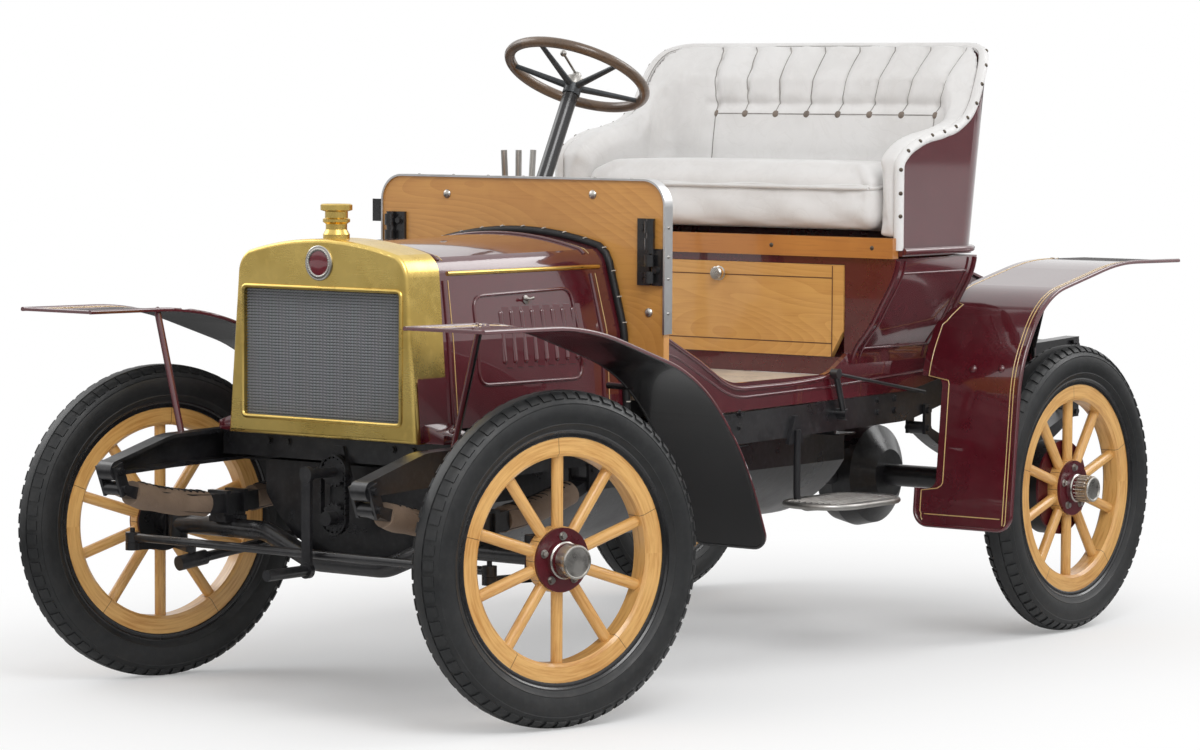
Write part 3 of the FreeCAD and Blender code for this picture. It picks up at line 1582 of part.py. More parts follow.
def make_tub():
    wall = num("body_wall")
    low_side = make_low_side()
    front, corner, tail = num(SEAT_X), num(f"{FRONT_X} - body_corner_setback"), num(f"{FRONT_X} - tail_setback")
    face = Part.Face(flare_wire(front, wall))
    flared = face.extrude(V(corner - front, 0, 0))
    side = low_side.fuse(flared)
    # seat box front across the car, with the locker's opening
    curve = flare_curve(front, 0)
    spline = Part.BSplineCurve()
    spline.interpolate(curve)
    mirrored = Part.BSplineCurve()
    mirrored.interpolate([V(p.x, -p.y, p.z) for p in reversed(curve)])
    base = num("floor_height + joint_gap")
    right = [V(curve[0].x, -curve[0].y, curve[0].z), V(front, -curve[0].y, base)]
    left = [V(front, curve[0].y, base), curve[0]]
    edges = [
        spline.toShape(),
        Part.LineSegment(curve[-1], V(front, -curve[-1].y, curve[-1].z)).toShape(),
        mirrored.toShape(),
        Part.LineSegment(*right).toShape(),
        Part.LineSegment(right[1], left[0]).toShape(),
        Part.LineSegment(*left).toShape(),
    ]
    panel = Part.Face(Part.Wire(Part.__sortEdges__(edges))).extrude(V(-wall, 0, 0))
    gap = num("side_play")
    half, low, high = num("locker_half + side_play"), num("locker_low - joint_gap"), num("locker_high + side_play")
    opening = Part.makeBox(wall * 3, 2 * half, high - low, V(front - 2 * wall, -half, low))
    panel = panel.cut(opening)
    # rear wall of the seat box and the tail
    rear_panel = Part.Face(Part.Wire(Part.__sortEdges__([e.translated(V(corner - front + wall, 0, 0)) for e in edges]))).extrude(V(-wall, 0, 0))
    body_half, tail_h = num("tail_half"), num("tail_height")
    deck_front = num("flare_height")
    tail_low = num(RAIL_TOP) + num("kick_up")
    sides = []
    outline = [
        V(corner + wall / 2, body_half - wall, num("sill_height")),
        V(corner + wall / 2, body_half - wall, deck_front - num("deck_thickness")),
        V(tail, body_half - wall, tail_h - num("deck_thickness")),
        V(tail, body_half - wall, tail_low),
    ]
    tail_side = plate(outline, V(0, wall, 0))
    end_wall = Part.makeBox(wall, 2 * body_half, tail_h - num("deck_thickness") - tail_low, V(tail, -body_half, tail_low))
    tub = one(side, flip(side), panel, rear_panel, tail_side, flip(tail_side), end_wall)
    return tub.cut(below_frame()).Solids[0]


feature("body_tub", make_tub())


def make_deck():
    corner, tail = num(f"{FRONT_X} - body_corner_setback"), num(f"{FRONT_X} - tail_setback")
    t = num("deck_thickness")
    half = num("tail_half")
    front_z, rear_z = num("flare_height") + num("joint_gap"), num("tail_height") + num("joint_gap")
    lip = num("seat_lip")
    outline = [
        V(corner, -half - lip, front_z - t),
        V(corner, -half - lip, front_z),
        V(tail - lip, -half - lip, rear_z),
        V(tail - lip, -half - lip, rear_z - t),
    ]
    return plate(outline, V(0, 2 * (half + lip), 0))


feature("rear_deck", make_deck())


def make_locker():
    body = new_body("locker_flap")
    sketch = new_sketch(body, "YZ_Plane", f"{SEAT_X} - locker_thickness + body_wall / 3")
    cut_in = "(locker_high - locker_low) * 0.16"
    trace(
        sketch,
        [
            (f"-locker_half + {cut_in}", "locker_low"),
            (f"locker_half - {cut_in}", "locker_low"),
            ("locker_half", f"locker_low + {cut_in} * 1.8"),
            ("locker_half", "locker_high"),
            ("-locker_half", "locker_high"),
            ("-locker_half", f"locker_low + {cut_in} * 1.8"),
        ],
    )
    pad(body, sketch, "locker_thickness")
    knob = new_sketch(body, "YZ_Plane", f"{SEAT_X} + body_wall / 3")
    ring(knob, "0", "locker_high - locker_knob", "locker_knob")
    pad(body, knob, "locker_knob * 0.6")


make_locker()


def make_seat_rail():
    return box(
        f"{SEAT_X} - rail_board_thickness / 2",
        "-rail_board_half",
        "flare_height + joint_gap",
        "rail_board_thickness",
        "2 * rail_board_half",
        "rail_board_height",
    )


node("seat_rail", make_seat_rail())


# Seat: a U-shaped shell that leans back, its padding and the cushion
def seat_ring(z, shrink, thickness, lean):
    """A U across the car at height z: sides and back of one wall."""
    half = num("seat_half") - shrink
    back = num(f"{FRONT_X} - seat_back_setback") - lean + shrink
    front = num(f"{SEAT_X} - rail_board_thickness / 2 - joint_gap")
    corner = num("seat_corner")
    outer = [V(front, half, z), V(back, half, z), V(back, -half, z), V(front, -half, z)]
    h2, b2, c2 = half - thickness, back + thickness, corner - thickness * 0.6
    inner = [V(front, -h2, z), V(b2, -h2, z), V(b2, h2, z), V(front, h2, z)]
    out_wire = rounded(outer, [corner, corner])
    in_wire = rounded(inner, [c2, c2])
    ends = [
        Part.LineSegment(outer[-1], inner[0]).toShape(),
        Part.LineSegment(inner[-1], outer[0]).toShape(),
    ]
    return Part.Wire(out_wire.Edges + [ends[0]] + in_wire.Edges + [ends[1]])


def arm_profile(grow):
    """The space above the arms, across the car, that is cut from the seat."""
    front, back = num(SEAT_X), num(f"{FRONT_X} - seat_back_setback - seat_lean")
    run = front - back
    arm, top = num("arm_front_height") + grow, num("seat_top_height") + grow
    rise = top - arm
    along_shares = ((0.0, 0.0), (0.05, 0.1), (0.16, 0.2), (0.38, 0.28), (0.56, 0.34), (0.7, 0.46), (0.79, 0.68), (0.9, 0.9), (1.04, 1.0))
    points = [V(front - run * a, 0, arm + rise * b) for a, b in along_shares]
    curve = Part.BSplineCurve()
    curve.interpolate(points)
    over = num("overrun")
    high = top + over * 3
    far = V(points[-1].x, 0, high)
    near = V(front + over * 2, 0, high)
    low = V(front + over * 2, 0, points[0].z)
    edges = [
        curve.toShape(),
        Part.LineSegment(points[-1], far).toShape(),
        Part.LineSegment(far, near).toShape(),
        Part.LineSegment(near, low).toShape(),
        Part.LineSegment(low, points[0]).toShape(),
    ]
    half = num("seat_half") * 1.2
    return Part.Face(Part.Wire(Part.__sortEdges__(edges))).extrude(V(0, 2 * half, 0)).translated(V(0, -half, 0))


def seat_wall(shrink, thickness, base, top, grow):
    low_z, high_z = base, top
    lean = num("seat_lean")
    full = num("seat_top_height - seat_base_height")
    share = lambda z: (z - num("seat_base_height")) / full
    low = seat_ring(low_z, shrink, thickness, lean * share(low_z))
    high = seat_ring(high_z, shrink, thickness, lean * share(high_z))
    return Part.makeLoft([low, high], True, True).cut(arm_profile(grow))


def make_seat_shell():
    shell = seat_wall(0, num("seat_wall"), num("seat_base_height"), num("seat_top_height"), 0)
    lip = num("seat_lip")
    base = num("seat_base_height")
    band = Part.makeLoft(
        [seat_ring(base, -lip / 2, lip * 1.5, 0), seat_ring(base + lip * 1.4, -lip / 2, lip * 1.5, 0)], True, True
    )
    return one(shell, band)


feature("seat_shell", make_seat_shell())


def make_seat_back():
    gap = num("stuffing_gap")
    shrink = num("seat_wall") + gap
    base = num("flare_height + rail_board_height + joint_gap * 2")
    grow = num("seat_lip")
    pad_solid = seat_wall(shrink, num("stuffing_thickness"), base, num("seat_top_height") + grow, grow)
    return pad_solid.Solids[0]


feature("seat_back", make_seat_back())


def make_cushion():
    half, height = num("cushion_half"), num("cushion_height")
    front = num(SEAT_X)
    length = num("seat_back_setback - seat_front_setback - seat_wall - stuffing_thickness - 2 * stuffing_gap")
    base = num("flare_height + rail_board_height + joint_gap * 2")
    half = min(half, num("seat_half - seat_wall - stuffing_thickness - stuffing_gap * 3"))
    block = Part.makeBox(length, 2 * half, height, V(front - length, -half, base))
    rear = [e for e in block.Edges if e.BoundBox.ZLength > height / 2 and e.BoundBox.XMax < front - length / 2]
    block = block.makeFillet(num("seat_corner"), rear)
    top = [e for e in block.Edges if e.BoundBox.ZMin > base + height / 2]
    return block.makeFillet(num("cushion_corner"), top)


feature("seat_cushion", make_cushion())


# Fenders of thin sheet, each one curve along the car, with wired edges and their stays
def fender_sheet(points, radii, inner, outer):
    path = rounded(points, radii)
    sheet_t, bead = num("fender_sheet"), num("fender_bead")
    face = path.makeOffset2D(sheet_t, 0, True, True)
    strip = face.extrude(V(0, outer - inner, 0))
    strip.translate(V(0, inner - strip.BoundBox.YMin, 0))
    return strip, path


def front_fender_points():
    x = num(FRONT_X)
    lead, trail = num("front_fender_lead"), num("front_fender_trail")
    top, base = num("front_fender_top"), num("front_fender_base")
    along_shares = ((1.0, 1.0), (0.0, 0.992), (-0.592, 0.76), (-0.86, 0.404), (-1.0, 0.0))
    points = []
    for a, b in along_shares:
        reach = lead if a > 0 else trail
        points.append(V(x + a * reach, 0, base + (top - base) * b))
    return points


def rear_fender_points():
    x = num(REAR_X)
    lead, trail = num("rear_fender_lead"), num("rear_fender_trail")
    top, base = num("rear_fender_top"), num("rear_fender_base")
    along_shares = ((1.0, 0.0), (0.905, 0.62), (0.653, 0.885), (-0.24, 1.0), (-1.0, 0.994))
    points = []
    for a, b in along_shares:
        reach = lead if a > 0 else trail
        points.append(V(x + a * reach, 0, base + (top - base) * b))
    return points


def in_from_end(points, distance):
    """A fender's line with its first point moved along it by a distance."""
    way = (points[1] - points[0]).normalize()
    return [points[0] + way * distance] + points[1:]


def wired_edge(points, radii, inner, outer, ends):
    """The wire in a fender's edge: up one side from the low end, round its corners, and back."""
    bead, corner = num("fender_bead"), num("fender_corner")
    line = in_from_end(points, bead / 2)
    near = [V(p.x, outer - bead / 2, p.z) for p in line]
    far = [V(p.x, inner + bead / 2, p.z) for p in ends]
    return tube(list(reversed(near)) + far, list(reversed(radii)) + [corner, corner] + radii[: len(far) - 2], bead)


def round_corners(strip, low):
    """A fender's sheet with the corners of its low end rounded under the wire."""
    thick, radius = num("fender_sheet"), num("fender_corner + fender_bead / 2")
    short = [e for e in strip.Edges if e.Length < thick * 1.5 and e.CenterOfMass.z < low + thick * 2]
    return strip.makeFillet(radius, short)


def height_on(path, x):
    """The height of a fender's line at x."""
    points = sorted(path.discretize(400), key=lambda p: abs(p.x - x))
    return points[0].z


def foot_y():
    """The middle of a stay that is bolted to the rail's outer face."""
    return num("rail_gauge / 2 + rail_width / 2 + joint_gap + stay_diameter / 2")


def fender_stay(path, x, head_y, foot_z):
    """A round stay from its foot on the rail up into the fender, as a list of solids."""
    d, y = num("stay_diameter"), foot_y()
    foot = V(x, y, foot_z - d)
    knee = V(x, y, foot_z + d * 2)
    head = V(x, head_y, height_on(path, x) + num("fender_sheet") / 2)
    bar = tube([foot, knee, head], [d * 1.6], d)
    washer = Part.makeCylinder(d * 0.9, d / 2 + num("joint_gap") / 2, V(x, y - d / 2 - num("joint_gap") / 2, foot_z), V(0, 1, 0))
    return [bar, washer]


def make_front_fender():
    points = front_fender_points()
    radii = [num("front_fender_top") * 1.0, num("front_fender_top") * 0.55, num("front_fender_top") * 0.77]
    inner, outer = num("front_fender_inner"), num("front_fender_outer")
    strip, path = fender_sheet(points, radii, inner, outer)
    strip = round_corners(strip, num("front_fender_base"))
    bead = num("fender_bead")
    low_first, low_radii = list(reversed(points)), list(reversed(radii))
    wire = wired_edge(low_first, low_radii, inner, outer, in_from_end(low_first, bead / 2))
    lip_end = points[0] + V(-bead / 2, inner + bead / 2, 0)
    lip = Part.makeCylinder(bead * 0.45, outer - inner - bead, lip_end, V(0, 1, 0))
    x = num(f"{FRONT_X} + front_stay_lead")
    stays = fender_stay(path, x, num("front_stay_fender"), num("rail_front_height - rail_height / 2"))
    back = num(f"{DASH_X} + front_stay_back")
    low = num("rail_front_height - rail_height / 2")
    d = num("stay_diameter")
    out = height_on(path, back) + num("fender_sheet") / 2
    stays += [
        tube([V(back, foot_y(), out), V(back, inner + bead * 2, out)], [], d),
    ]
    return one(strip, wire, lip, *stays)


feature("front_fenders", pair(make_front_fender()))


def flare_block(grow):
    """The space that the flared body side takes, made larger by grow."""
    front, corner = num(SEAT_X) + grow, num(f"{FRONT_X} - body_corner_setback") - grow
    curve = [p + V(front - p.x, grow, 0) for p in flare_curve(front, 0)]
    curve[0].z -= grow
    curve[-1].z += grow
    spline = Part.BSplineCurve()
    spline.interpolate(curve)
    top, low = V(front, 0, curve[-1].z), V(front, 0, curve[0].z)
    edges = [
        spline.toShape(),
        Part.LineSegment(curve[-1], top).toShape(),
        Part.LineSegment(top, low).toShape(),
        Part.LineSegment(low, curve[0]).toShape(),
    ]
    return Part.Face(Part.Wire(edges)).extrude(V(corner - front, 0, 0))


def make_rear_fender():
    points = rear_fender_points()
    top = num("rear_fender_top")
    radii = [top * 0.3, top * 0.25, top * 0.9]
    inner, outer = num("rear_fender_inner"), num("rear_fender_outer")
    strip, path = fender_sheet(points, radii, inner, outer)
    strip = round_corners(strip, num("rear_fender_base"))
    bead = num("fender_bead")
    low, high, deep = num("notch_low"), num("notch_high"), num("notch_depth")
    lead = num(f"{REAR_X} + rear_fender_lead")
    over = num("overrun")
    notch = Part.makeBox(over * 4, deep + over, high - low, V(lead - over * 3, inner - over, low))
    sides = [e for e in notch.Edges if abs(e.Vertexes[0].X - e.Vertexes[1].X) > 1 and e.Vertexes[0].Y > inner]
    notch = notch.makeFillet(deep * 0.4, sides)
    strip = strip.cut(notch)
    x = num(f"{REAR_X} - rear_stay_trail")
    stays = fender_stay(path, x, inner + bead * 2, num(RAIL_TOP) + num("kick_up") * 0.6)
    rise = (low - points[0].z) / (points[1].z - points[0].z)
    stop = points[0] + (points[1] - points[0]) * rise
    foot = in_from_end(points, bead / 2)[0]
    wire = wired_edge(points, radii, inner, outer, [foot, stop])
    fender = one(strip, wire, *stays)
    return fender.cut(flare_block(num("side_play")))


feature("rear_fenders", pair(make_rear_fender()))


# Steps: an oval tread on a hanger from a bracket on the frame
def make_step():
    length, width, thick = num("step_length"), num("step_width"), num("step_thickness")
    centre = at(f"{FRONT_X} - step_setback", "step_offset", "step_height")
    corner = width * 0.45
    tread = Part.makeBox(length, width, thick, centre - V(length / 2, width / 2, thick / 2))
    uprights = [e for e in tread.Edges if abs(e.Vertexes[0].Z - e.Vertexes[1].Z) > thick / 2]
    tread = tread.makeFillet(corner, uprights)
    x = num(f"{FRONT_X} - step_hanger_setback")
    rail_out = num("rail_gauge / 2 + rail_width / 2")
    d = num("step_hanger_diameter")
    y = rail_out + d * 0.7
    hang_z = num("rail_front_height - rail_height / 2")
    low = centre.z - thick / 2 - d / 2 + num("joint_gap")
    rise = tube(
        [V(x, y, hang_z), V(x, y, low), V(x - length * 0.55, centre.y, low)],
        [d * 2],
        d,
    )
    size = num("step_bracket")
    tri = [V(x - size / 2, rail_out, hang_z - size / 2), V(x + size / 2, rail_out, hang_z - size / 2), V(x + size * 0.1, rail_out, hang_z + size / 2), V(x - size * 0.1, rail_out, hang_z + size / 2)]
    bracket = plate(tri, V(0, d * 0.6, 0))
    return one(tread, rise, bracket)


feature("steps", pair(make_step()))


# Hand levers beside the driver and the pedals
def make_controls():
    pieces = []
    width, thick, space = num("lever_width"), num("lever_thickness"), num("lever_spacing")
    x, y = num(f"{FRONT_X} - lever_setback"), -num("lever_offset")
    base, top = num("floor_height + joint_gap"), num("lever_height")
    for i in range(3):
        foot = V(x + i * thick * 0.5, y + (i - 1) * thick * 2, base + thick)
        head = V(x - (i - 1) * space * 1.2, y + (i - 1) * thick * 2, top)
        pieces.append(tube([foot, head], [], width))
    quadrant = Part.makeBox(space * 2.4, thick * 7, thick * 2, V(x - space * 1.2, y - thick * 3.5, base))
    lever_set = one(quadrant, *pieces)
    pedals = []
    size = num("pedal_size")
    px = num(f"{FRONT_X} - pedal_setback")
    for i in (-1, 1):
        py = -num("column_offset") + i * size * 1.1
        arm = tube([V(px - size, py, base), V(px - size, py, base + size * 1.4)], [], width)
        pad_piece = Part.makeBox(thick, size, size * 0.8, V(px - size - thick / 2, py - size / 2, base + size * 1.2))
        pedals.append(one(arm, pad_piece))
    return Part.Compound([lever_set] + pedals)


feature("controls", make_controls())


# Brake cross shaft lever outside the left rail with its pull rod
def make_brake():
    x = num(f"{FRONT_X} - brake_lever_setback")
    y = num("rail_gauge / 2 + rail_width / 2")
    low, high = num("brake_pivot_height"), num("brake_lever_height")
    thick, width = num("lever_thickness"), num("lever_width")
    pivot = Part.makeCylinder(width * 0.9, thick * 3.6, V(x, y, low), V(0, 1, 0))
    arm = tube([V(x, y + thick * 2, low), V(x + width * 2.4, y + thick * 2, high)], [], width)
    run, drop = num("brake_rod_run"), num("brake_rod_drop")
    pull = tube([V(x + width * 2.4, y + thick * 2, high), V(x + width * 2.4 - run, y + thick * 2, high - drop)], [], num("brake_rod_diameter"))
    eye = Part.makeCylinder(width * 0.8, thick * 2.6, V(x + width * 2.4, y + thick * 0.7, high), V(0, 1, 0))
    return one(pivot, arm, pull, eye)


feature("brake_linkage", make_brake())


# Starting crank: hand crank on the upper sprocket, roller chain down to the engine shaft
def sprocket(centre, diameter, thick, teeth):
    points = []
    for i in range(int(teeth)):
        for share, r in ((0.0, 0.5), (0.25, 0.58), (0.5, 0.58), (0.75, 0.5)):
            angle = 2 * math.pi * (i + share) / teeth
            points.append(centre + V(0, math.cos(angle), math.sin(angle)) * diameter * r)
    return Part.Face(Part.makePolygon(points + [points[0]])).extrude(V(thick, 0, 0))


def make_chain(top, low, diameter, width):
    """A closed run of chain links round both sprockets, with a notch between the links."""
    radius = diameter * 0.58
    outer, inner = radius + width * 0.3, radius - width * 0.05
    x = top.x

    def loop(r):
        a, b = top + V(0, r, 0), top - V(0, r, 0)
        c, d = low - V(0, r, 0), low + V(0, r, 0)
        return Part.Wire(
            [
                Part.Arc(a, top + V(0, 0, r), b).toShape(),
                Part.LineSegment(b, c).toShape(),
                Part.Arc(c, low - V(0, 0, r), d).toShape(),
                Part.LineSegment(d, a).toShape(),
            ]
        )

    band = Part.Face(loop(outer)).cut(Part.Face(loop(inner))).extrude(V(width, 0, 0))
    pitch = num("chain_pitch")
    count = int((top.z - low.z) / pitch)
    slots = []
    for side in (1, -1):
        for i in range(count):
            z = low.z + (i + 0.5) * pitch
            y = side * (outer - width * 0.06)
            slots.append(Part.makeBox(width * 2, width * 0.24, pitch * 0.4, V(x - width / 2, top.y + y - width * 0.12, z)))
    return band.cut(Part.Compound(slots))


def make_crank():
    top = at(f"{FRONT_X} + chain_lead", "0", "crank_height")
    low = top - V(0, 0, num("chain_drop"))
    d, thick, teeth = num("sprocket_diameter"), num("sprocket_thickness"), num("sprocket_teeth")
    chain_w = num("chain_width")
    shift = V((chain_w - thick) / 2, 0, 0)
    pieces = [sprocket(top + shift, d, thick, teeth), sprocket(low + shift, d, thick, teeth)]
    pieces.append(make_chain(top, low, d, chain_w))
    plate_t = num("chain_plate_thickness")
    member_x = num(f"{FRONT_X} + front_member_lead")
    shaft_d = num("crank_shaft_diameter")
    lead = num("crank_lead - chain_lead")
    boss = top.x - member_x - plate_t / 2
    pieces.append(Part.makeCylinder(shaft_d / 2, lead + boss, top - V(boss, 0, 0), V(1, 0, 0)))
    pieces.append(Part.makeCylinder(shaft_d * 0.7, boss + lead * 0.4, low - V(boss, 0, 0), V(1, 0, 0)))
    hanger_shares = ((-0.42, -1.95), (0.42, -1.95), (0.42, -0.6), (0.6, -0.2), (0.2, 0.95), (-0.2, 0.95), (-0.6, -0.2), (-0.42, -0.6))
    hanger = [V(member_x, d * a, top.z + d * b) for a, b in hanger_shares]
    pieces.append(plate(hanger, V(plate_t, 0, 0)))
    arm_w, arm_t, throw = num("crank_arm_width"), num("crank_arm_thickness"), num("crank_throw")
    arm_x = num(f"{FRONT_X} + crank_lead")
    pieces.append(Part.makeBox(arm_t, arm_w, throw, V(arm_x, -arm_w / 2, top.z - throw)))
    for z in (top.z, top.z - throw):
        pieces.append(Part.makeCylinder(arm_w * 0.72, arm_t * 1.4, V(arm_x - arm_t * 0.2, 0, z), V(1, 0, 0)))
    grip = num("crank_grip")
    pieces.append(Part.makeCylinder(num("grip_diameter") / 2, grip, V(arm_x, 0, top.z - throw), V(1, 0, 0)))
    return one(*pieces)


feature("starting_crank", make_crank())

doc.recompute()

for item in doc.Objects:
    bad = [s for s in item.State if s in ("Invalid", "Error")]
    if bad:
        raise RuntimeError(f"{item.Name} ({item.Label}) is {bad}")
faulty = [n for n, i in NODES.items() if i.Shape.isNull() or not i.Shape.isValid() or not i.Shape.Solids]
if faulty:
    raise RuntimeError(f"no valid shape: {faulty}")

os.makedirs("parts", exist_ok=True)
for label, item in NODES.items():
    item.Shape.exportStep(f"parts/{label}.step")
    print(label, len(item.Shape.Solids), round(item.Shape.Volume / 1000))
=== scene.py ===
"""Looks of an open two-seat car of the brass era, dressed on its own CAD frame."""

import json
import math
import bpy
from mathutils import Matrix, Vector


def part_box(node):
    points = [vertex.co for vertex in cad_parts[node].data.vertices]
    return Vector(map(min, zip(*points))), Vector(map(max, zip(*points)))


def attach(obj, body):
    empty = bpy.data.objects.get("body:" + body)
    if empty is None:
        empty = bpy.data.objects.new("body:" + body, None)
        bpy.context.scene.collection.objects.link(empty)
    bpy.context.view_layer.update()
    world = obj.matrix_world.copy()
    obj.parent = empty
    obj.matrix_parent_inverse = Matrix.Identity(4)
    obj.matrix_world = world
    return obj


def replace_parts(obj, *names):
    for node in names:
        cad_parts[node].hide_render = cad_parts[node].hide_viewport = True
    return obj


bl_info = {
    "name": "Brass era car",
    "version": (1, 0, 0),
    "blender": (4, 5, 0),
    "location": "3D View > Sidebar > Car",
    "description": "Paint, wood, brass, leather and fittings of an open two-seat car",
    "category": "Object",
}

import bmesh
import bpy
from bpy.props import FloatProperty, FloatVectorProperty, IntProperty, PointerProperty
from mathutils import Matrix, Vector
from mathutils.bvhtree import BVHTree

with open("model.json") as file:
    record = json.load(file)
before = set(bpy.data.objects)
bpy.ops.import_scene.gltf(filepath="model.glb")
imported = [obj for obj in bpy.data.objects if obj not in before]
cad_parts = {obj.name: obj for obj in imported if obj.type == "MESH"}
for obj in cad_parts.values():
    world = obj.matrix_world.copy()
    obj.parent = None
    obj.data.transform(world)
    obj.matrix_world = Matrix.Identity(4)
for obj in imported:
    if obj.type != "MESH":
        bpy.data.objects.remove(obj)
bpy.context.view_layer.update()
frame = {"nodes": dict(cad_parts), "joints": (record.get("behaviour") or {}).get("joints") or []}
JOINTS = {j["name"]: j for j in frame["joints"]}
FRONT_X = JOINTS["steer_left"]["pos_m"][0]
REAR_X, _, AXLE_Z = JOINTS["wheel_rl_spin"]["pos_m"]
WHEELS = {
    "front_left": ("wheel_fl", 1),
    "front_right": ("wheel_fr", -1),
    "rear_left": ("wheel_rl", 1),
    "rear_right": ("wheel_rr", -1),
}
BENCH_MIDDLE = Vector((FRONT_X - 1.62, 0, 0))
SIDES = (1, -1)
AHEAD, UP = Vector((1, 0, 0)), Vector((0, 0, 1))
ON_EDGE = Matrix.Rotation(math.radians(-90), 4, "X")
CROSSWISE = (0, 0, math.radians(90))
BLACK = (0.012, 0.012, 0.013)
# Heights of traced lines over the surface under them
FLUSH, PROUD = 0.0006, 0.0015


# Places on the car
def wheel_frame(name):
    """Matrix whose origin is a wheel's middle and whose Y axis points out of the car."""
    body, side = WHEELS[name]
    joint = JOINTS[body + "_spin"]
    flat = Vector((0, 1, 0)).rotation_difference(Vector(joint["axis"])).to_matrix().to_4x4()
    if side < 0:
        flat = flat @ Matrix.Rotation(math.pi, 4, "Z")
    return Matrix.Translation(joint["pos_m"]) @ flat


def surface_of(*nodes):
    """Ray tree over CAD nodes or pieces."""
    points, faces = [], []
    for name in nodes:
        mesh = bpy.data.objects[name].data
        start = len(points)
        points.extend(v.co.copy() for v in mesh.vertices)
        faces.extend([start + i for i in p.vertices] for p in mesh.polygons)
    return BVHTree.FromPolygons(points, faces)


def lay_on(tree, points, way, lift=0.0):
    """Each point moved along way onto the surface, with the surface's outward direction."""
    found, way = [], Vector(way)
    for point in points:
        hit, normal, _, _ = tree.ray_cast(Vector(point), way.normalized())
        if hit is None:
            continue
        if normal.dot(way) > 0:
            normal = -normal
        found.append((hit + normal * lift, normal))
    return found


def trace(tree, points, way, lift=0.0):
    """A line of points laid on the surface."""
    return [hit for hit, _ in lay_on(tree, points, way, lift)]


def heading(turn, plane="XY"):
    """Unit direction at an angle in a plane of the car's axes."""
    way = Vector()
    way["XYZ".index(plane[0])], way["XYZ".index(plane[1])] = math.cos(turn), math.sin(turn)
    return way


def fan(start, end, count):
    """Evenly spaced angles, given in degrees."""
    return [math.radians(start + (end - start) * i / count) for i in range(count + 1)]


# Node trees
def rgba(colour, factor=1.0):
    """A colour with its alpha, darkened or lightened by a factor; sockets pass unchanged."""
    if isinstance(colour, bpy.types.NodeSocket):
        return colour
    return (colour[0] * factor, colour[1] * factor, colour[2] * factor, 1.0)


class Graph:
    """Short ways to add nodes to one tree."""

    def __init__(self, tree):
        self.tree = tree

    def link(self, value, socket):
        """A link from a socket, or a fixed value."""
        if isinstance(value, bpy.types.NodeSocket):
            self.tree.links.new(value, socket)
        else:
            socket.default_value = value

    def add(self, kind, inputs=None, **settings):
        made = self.tree.nodes.new("ShaderNode" + kind)
        for name, value in settings.items():
            setattr(made, name, value)
        for name, value in (inputs or {}).items():
            self.link(value, made.inputs[name])
        return made

    def calc(self, operation, *values, clamp=False):
        made = self.add("Math", dict(enumerate(values)), operation=operation, use_clamp=clamp)
        return made.outputs[0]

    def times(self, *values):
        return self.calc("MULTIPLY", *values)

    def plus(self, *values):
        return self.calc("ADD", *values)

    def minus(self, *values):
        return self.calc("SUBTRACT", *values)

    def mix(self, share, low, high):
        return self.add("Mix", {0: share, 6: low, 7: high}, data_type="RGBA").outputs[2]

    def spread(self, value, low, high, start=0.0, end=1.0):
        ends = {"From Min": low, "From Max": high, "To Min": start, "To Max": end}
        return self.add("MapRange", {"Value": value, **ends}).outputs["Result"]

    def stretch(self, vector, scale):
        return self.add("Mapping", {"Vector": vector, "Scale": scale}).outputs["Vector"]

    def parts(self, vector):
        return self.add("SeparateXYZ", {"Vector": vector}).outputs

    def length(self, vector):
        return self.add("VectorMath", {0: vector}, operation="LENGTH").outputs["Value"]

    def noise(self, vector, scale, detail, **more):
        inputs = {"Vector": vector, "Scale": scale, "Detail": detail, **more}
        return self.add("TexNoise", inputs).outputs["Fac"]

    def use(self, name, **inputs):
        """A shared group placed in this tree with its own values."""
        if name not in GROUPS:
            GROUPS[name] = GROUP_MAKERS[name]()
        made = self.tree.nodes.new("ShaderNodeGroup")
        made.node_tree = GROUPS[name]
        for label, value in inputs.items():
            self.link(value, made.inputs[label])
        return made.outputs


def new_group(name, inputs, outputs):
    """A group's graph with its given sockets and its output sockets."""
    group = bpy.data.node_groups.new(name, "ShaderNodeTree")
    for label, value in {"Vector": None, **inputs}.items():
        kind = "Vector" if value is None else "Color" if isinstance(value, tuple) else "Float"
        socket = group.interface.new_socket(label, in_out="INPUT", socket_type="NodeSocket" + kind)
        if value is not None:
            socket.default_value = value
    for label in outputs:
        kind = "Color" if label == "Colour" else "Float"
        group.interface.new_socket(label, in_out="OUTPUT", socket_type="NodeSocket" + kind)
    given, out = group.nodes.new("NodeGroupInput"), group.nodes.new("NodeGroupOutput")
    return Graph(group), given.outputs, out.inputs


def tone_group():
    """Slow and quick changes of a finish's colour."""
    inputs = {
        "Colour": (0.5, 0.5, 0.5, 1),
        "Deep": (0.2, 0.2, 0.2, 1),
        "Pale": (0.8, 0.8, 0.8, 1),
        "Scale": 6.0,
        "Amount": 0.5,
    }
    g, given, out = new_group("Tone change", inputs, ("Colour", "Mask"))
    slow = g.noise(given["Vector"], given["Scale"], 3.0)
    fast = g.noise(given["Vector"], g.times(given["Scale"], 9.0), 4.0)
    low = g.times(g.spread(slow, 0.56, 0.38), given["Amount"])
    high = g.times(g.spread(fast, 0.5, 0.72), given["Amount"])
    first = g.mix(low, given["Colour"], given["Deep"])
    g.link(g.mix(high, first, given["Pale"]), out["Colour"])
    g.link(slow, out["Mask"])
    return g.tree


def ripple_group():
    """Small unevenness of paint, castings and rubber, as a height."""
    g, given, out = new_group("Fine ripple", {"Scale": 60.0, "Grit": 0.3}, ("Height",))
    wave = g.noise(given["Vector"], given["Scale"], 2.0)
    fine = g.noise(given["Vector"], g.times(given["Scale"], 11.0), 2.0)
    g.link(g.plus(wave, g.times(fine, given["Grit"])), out["Height"])
    return g.tree


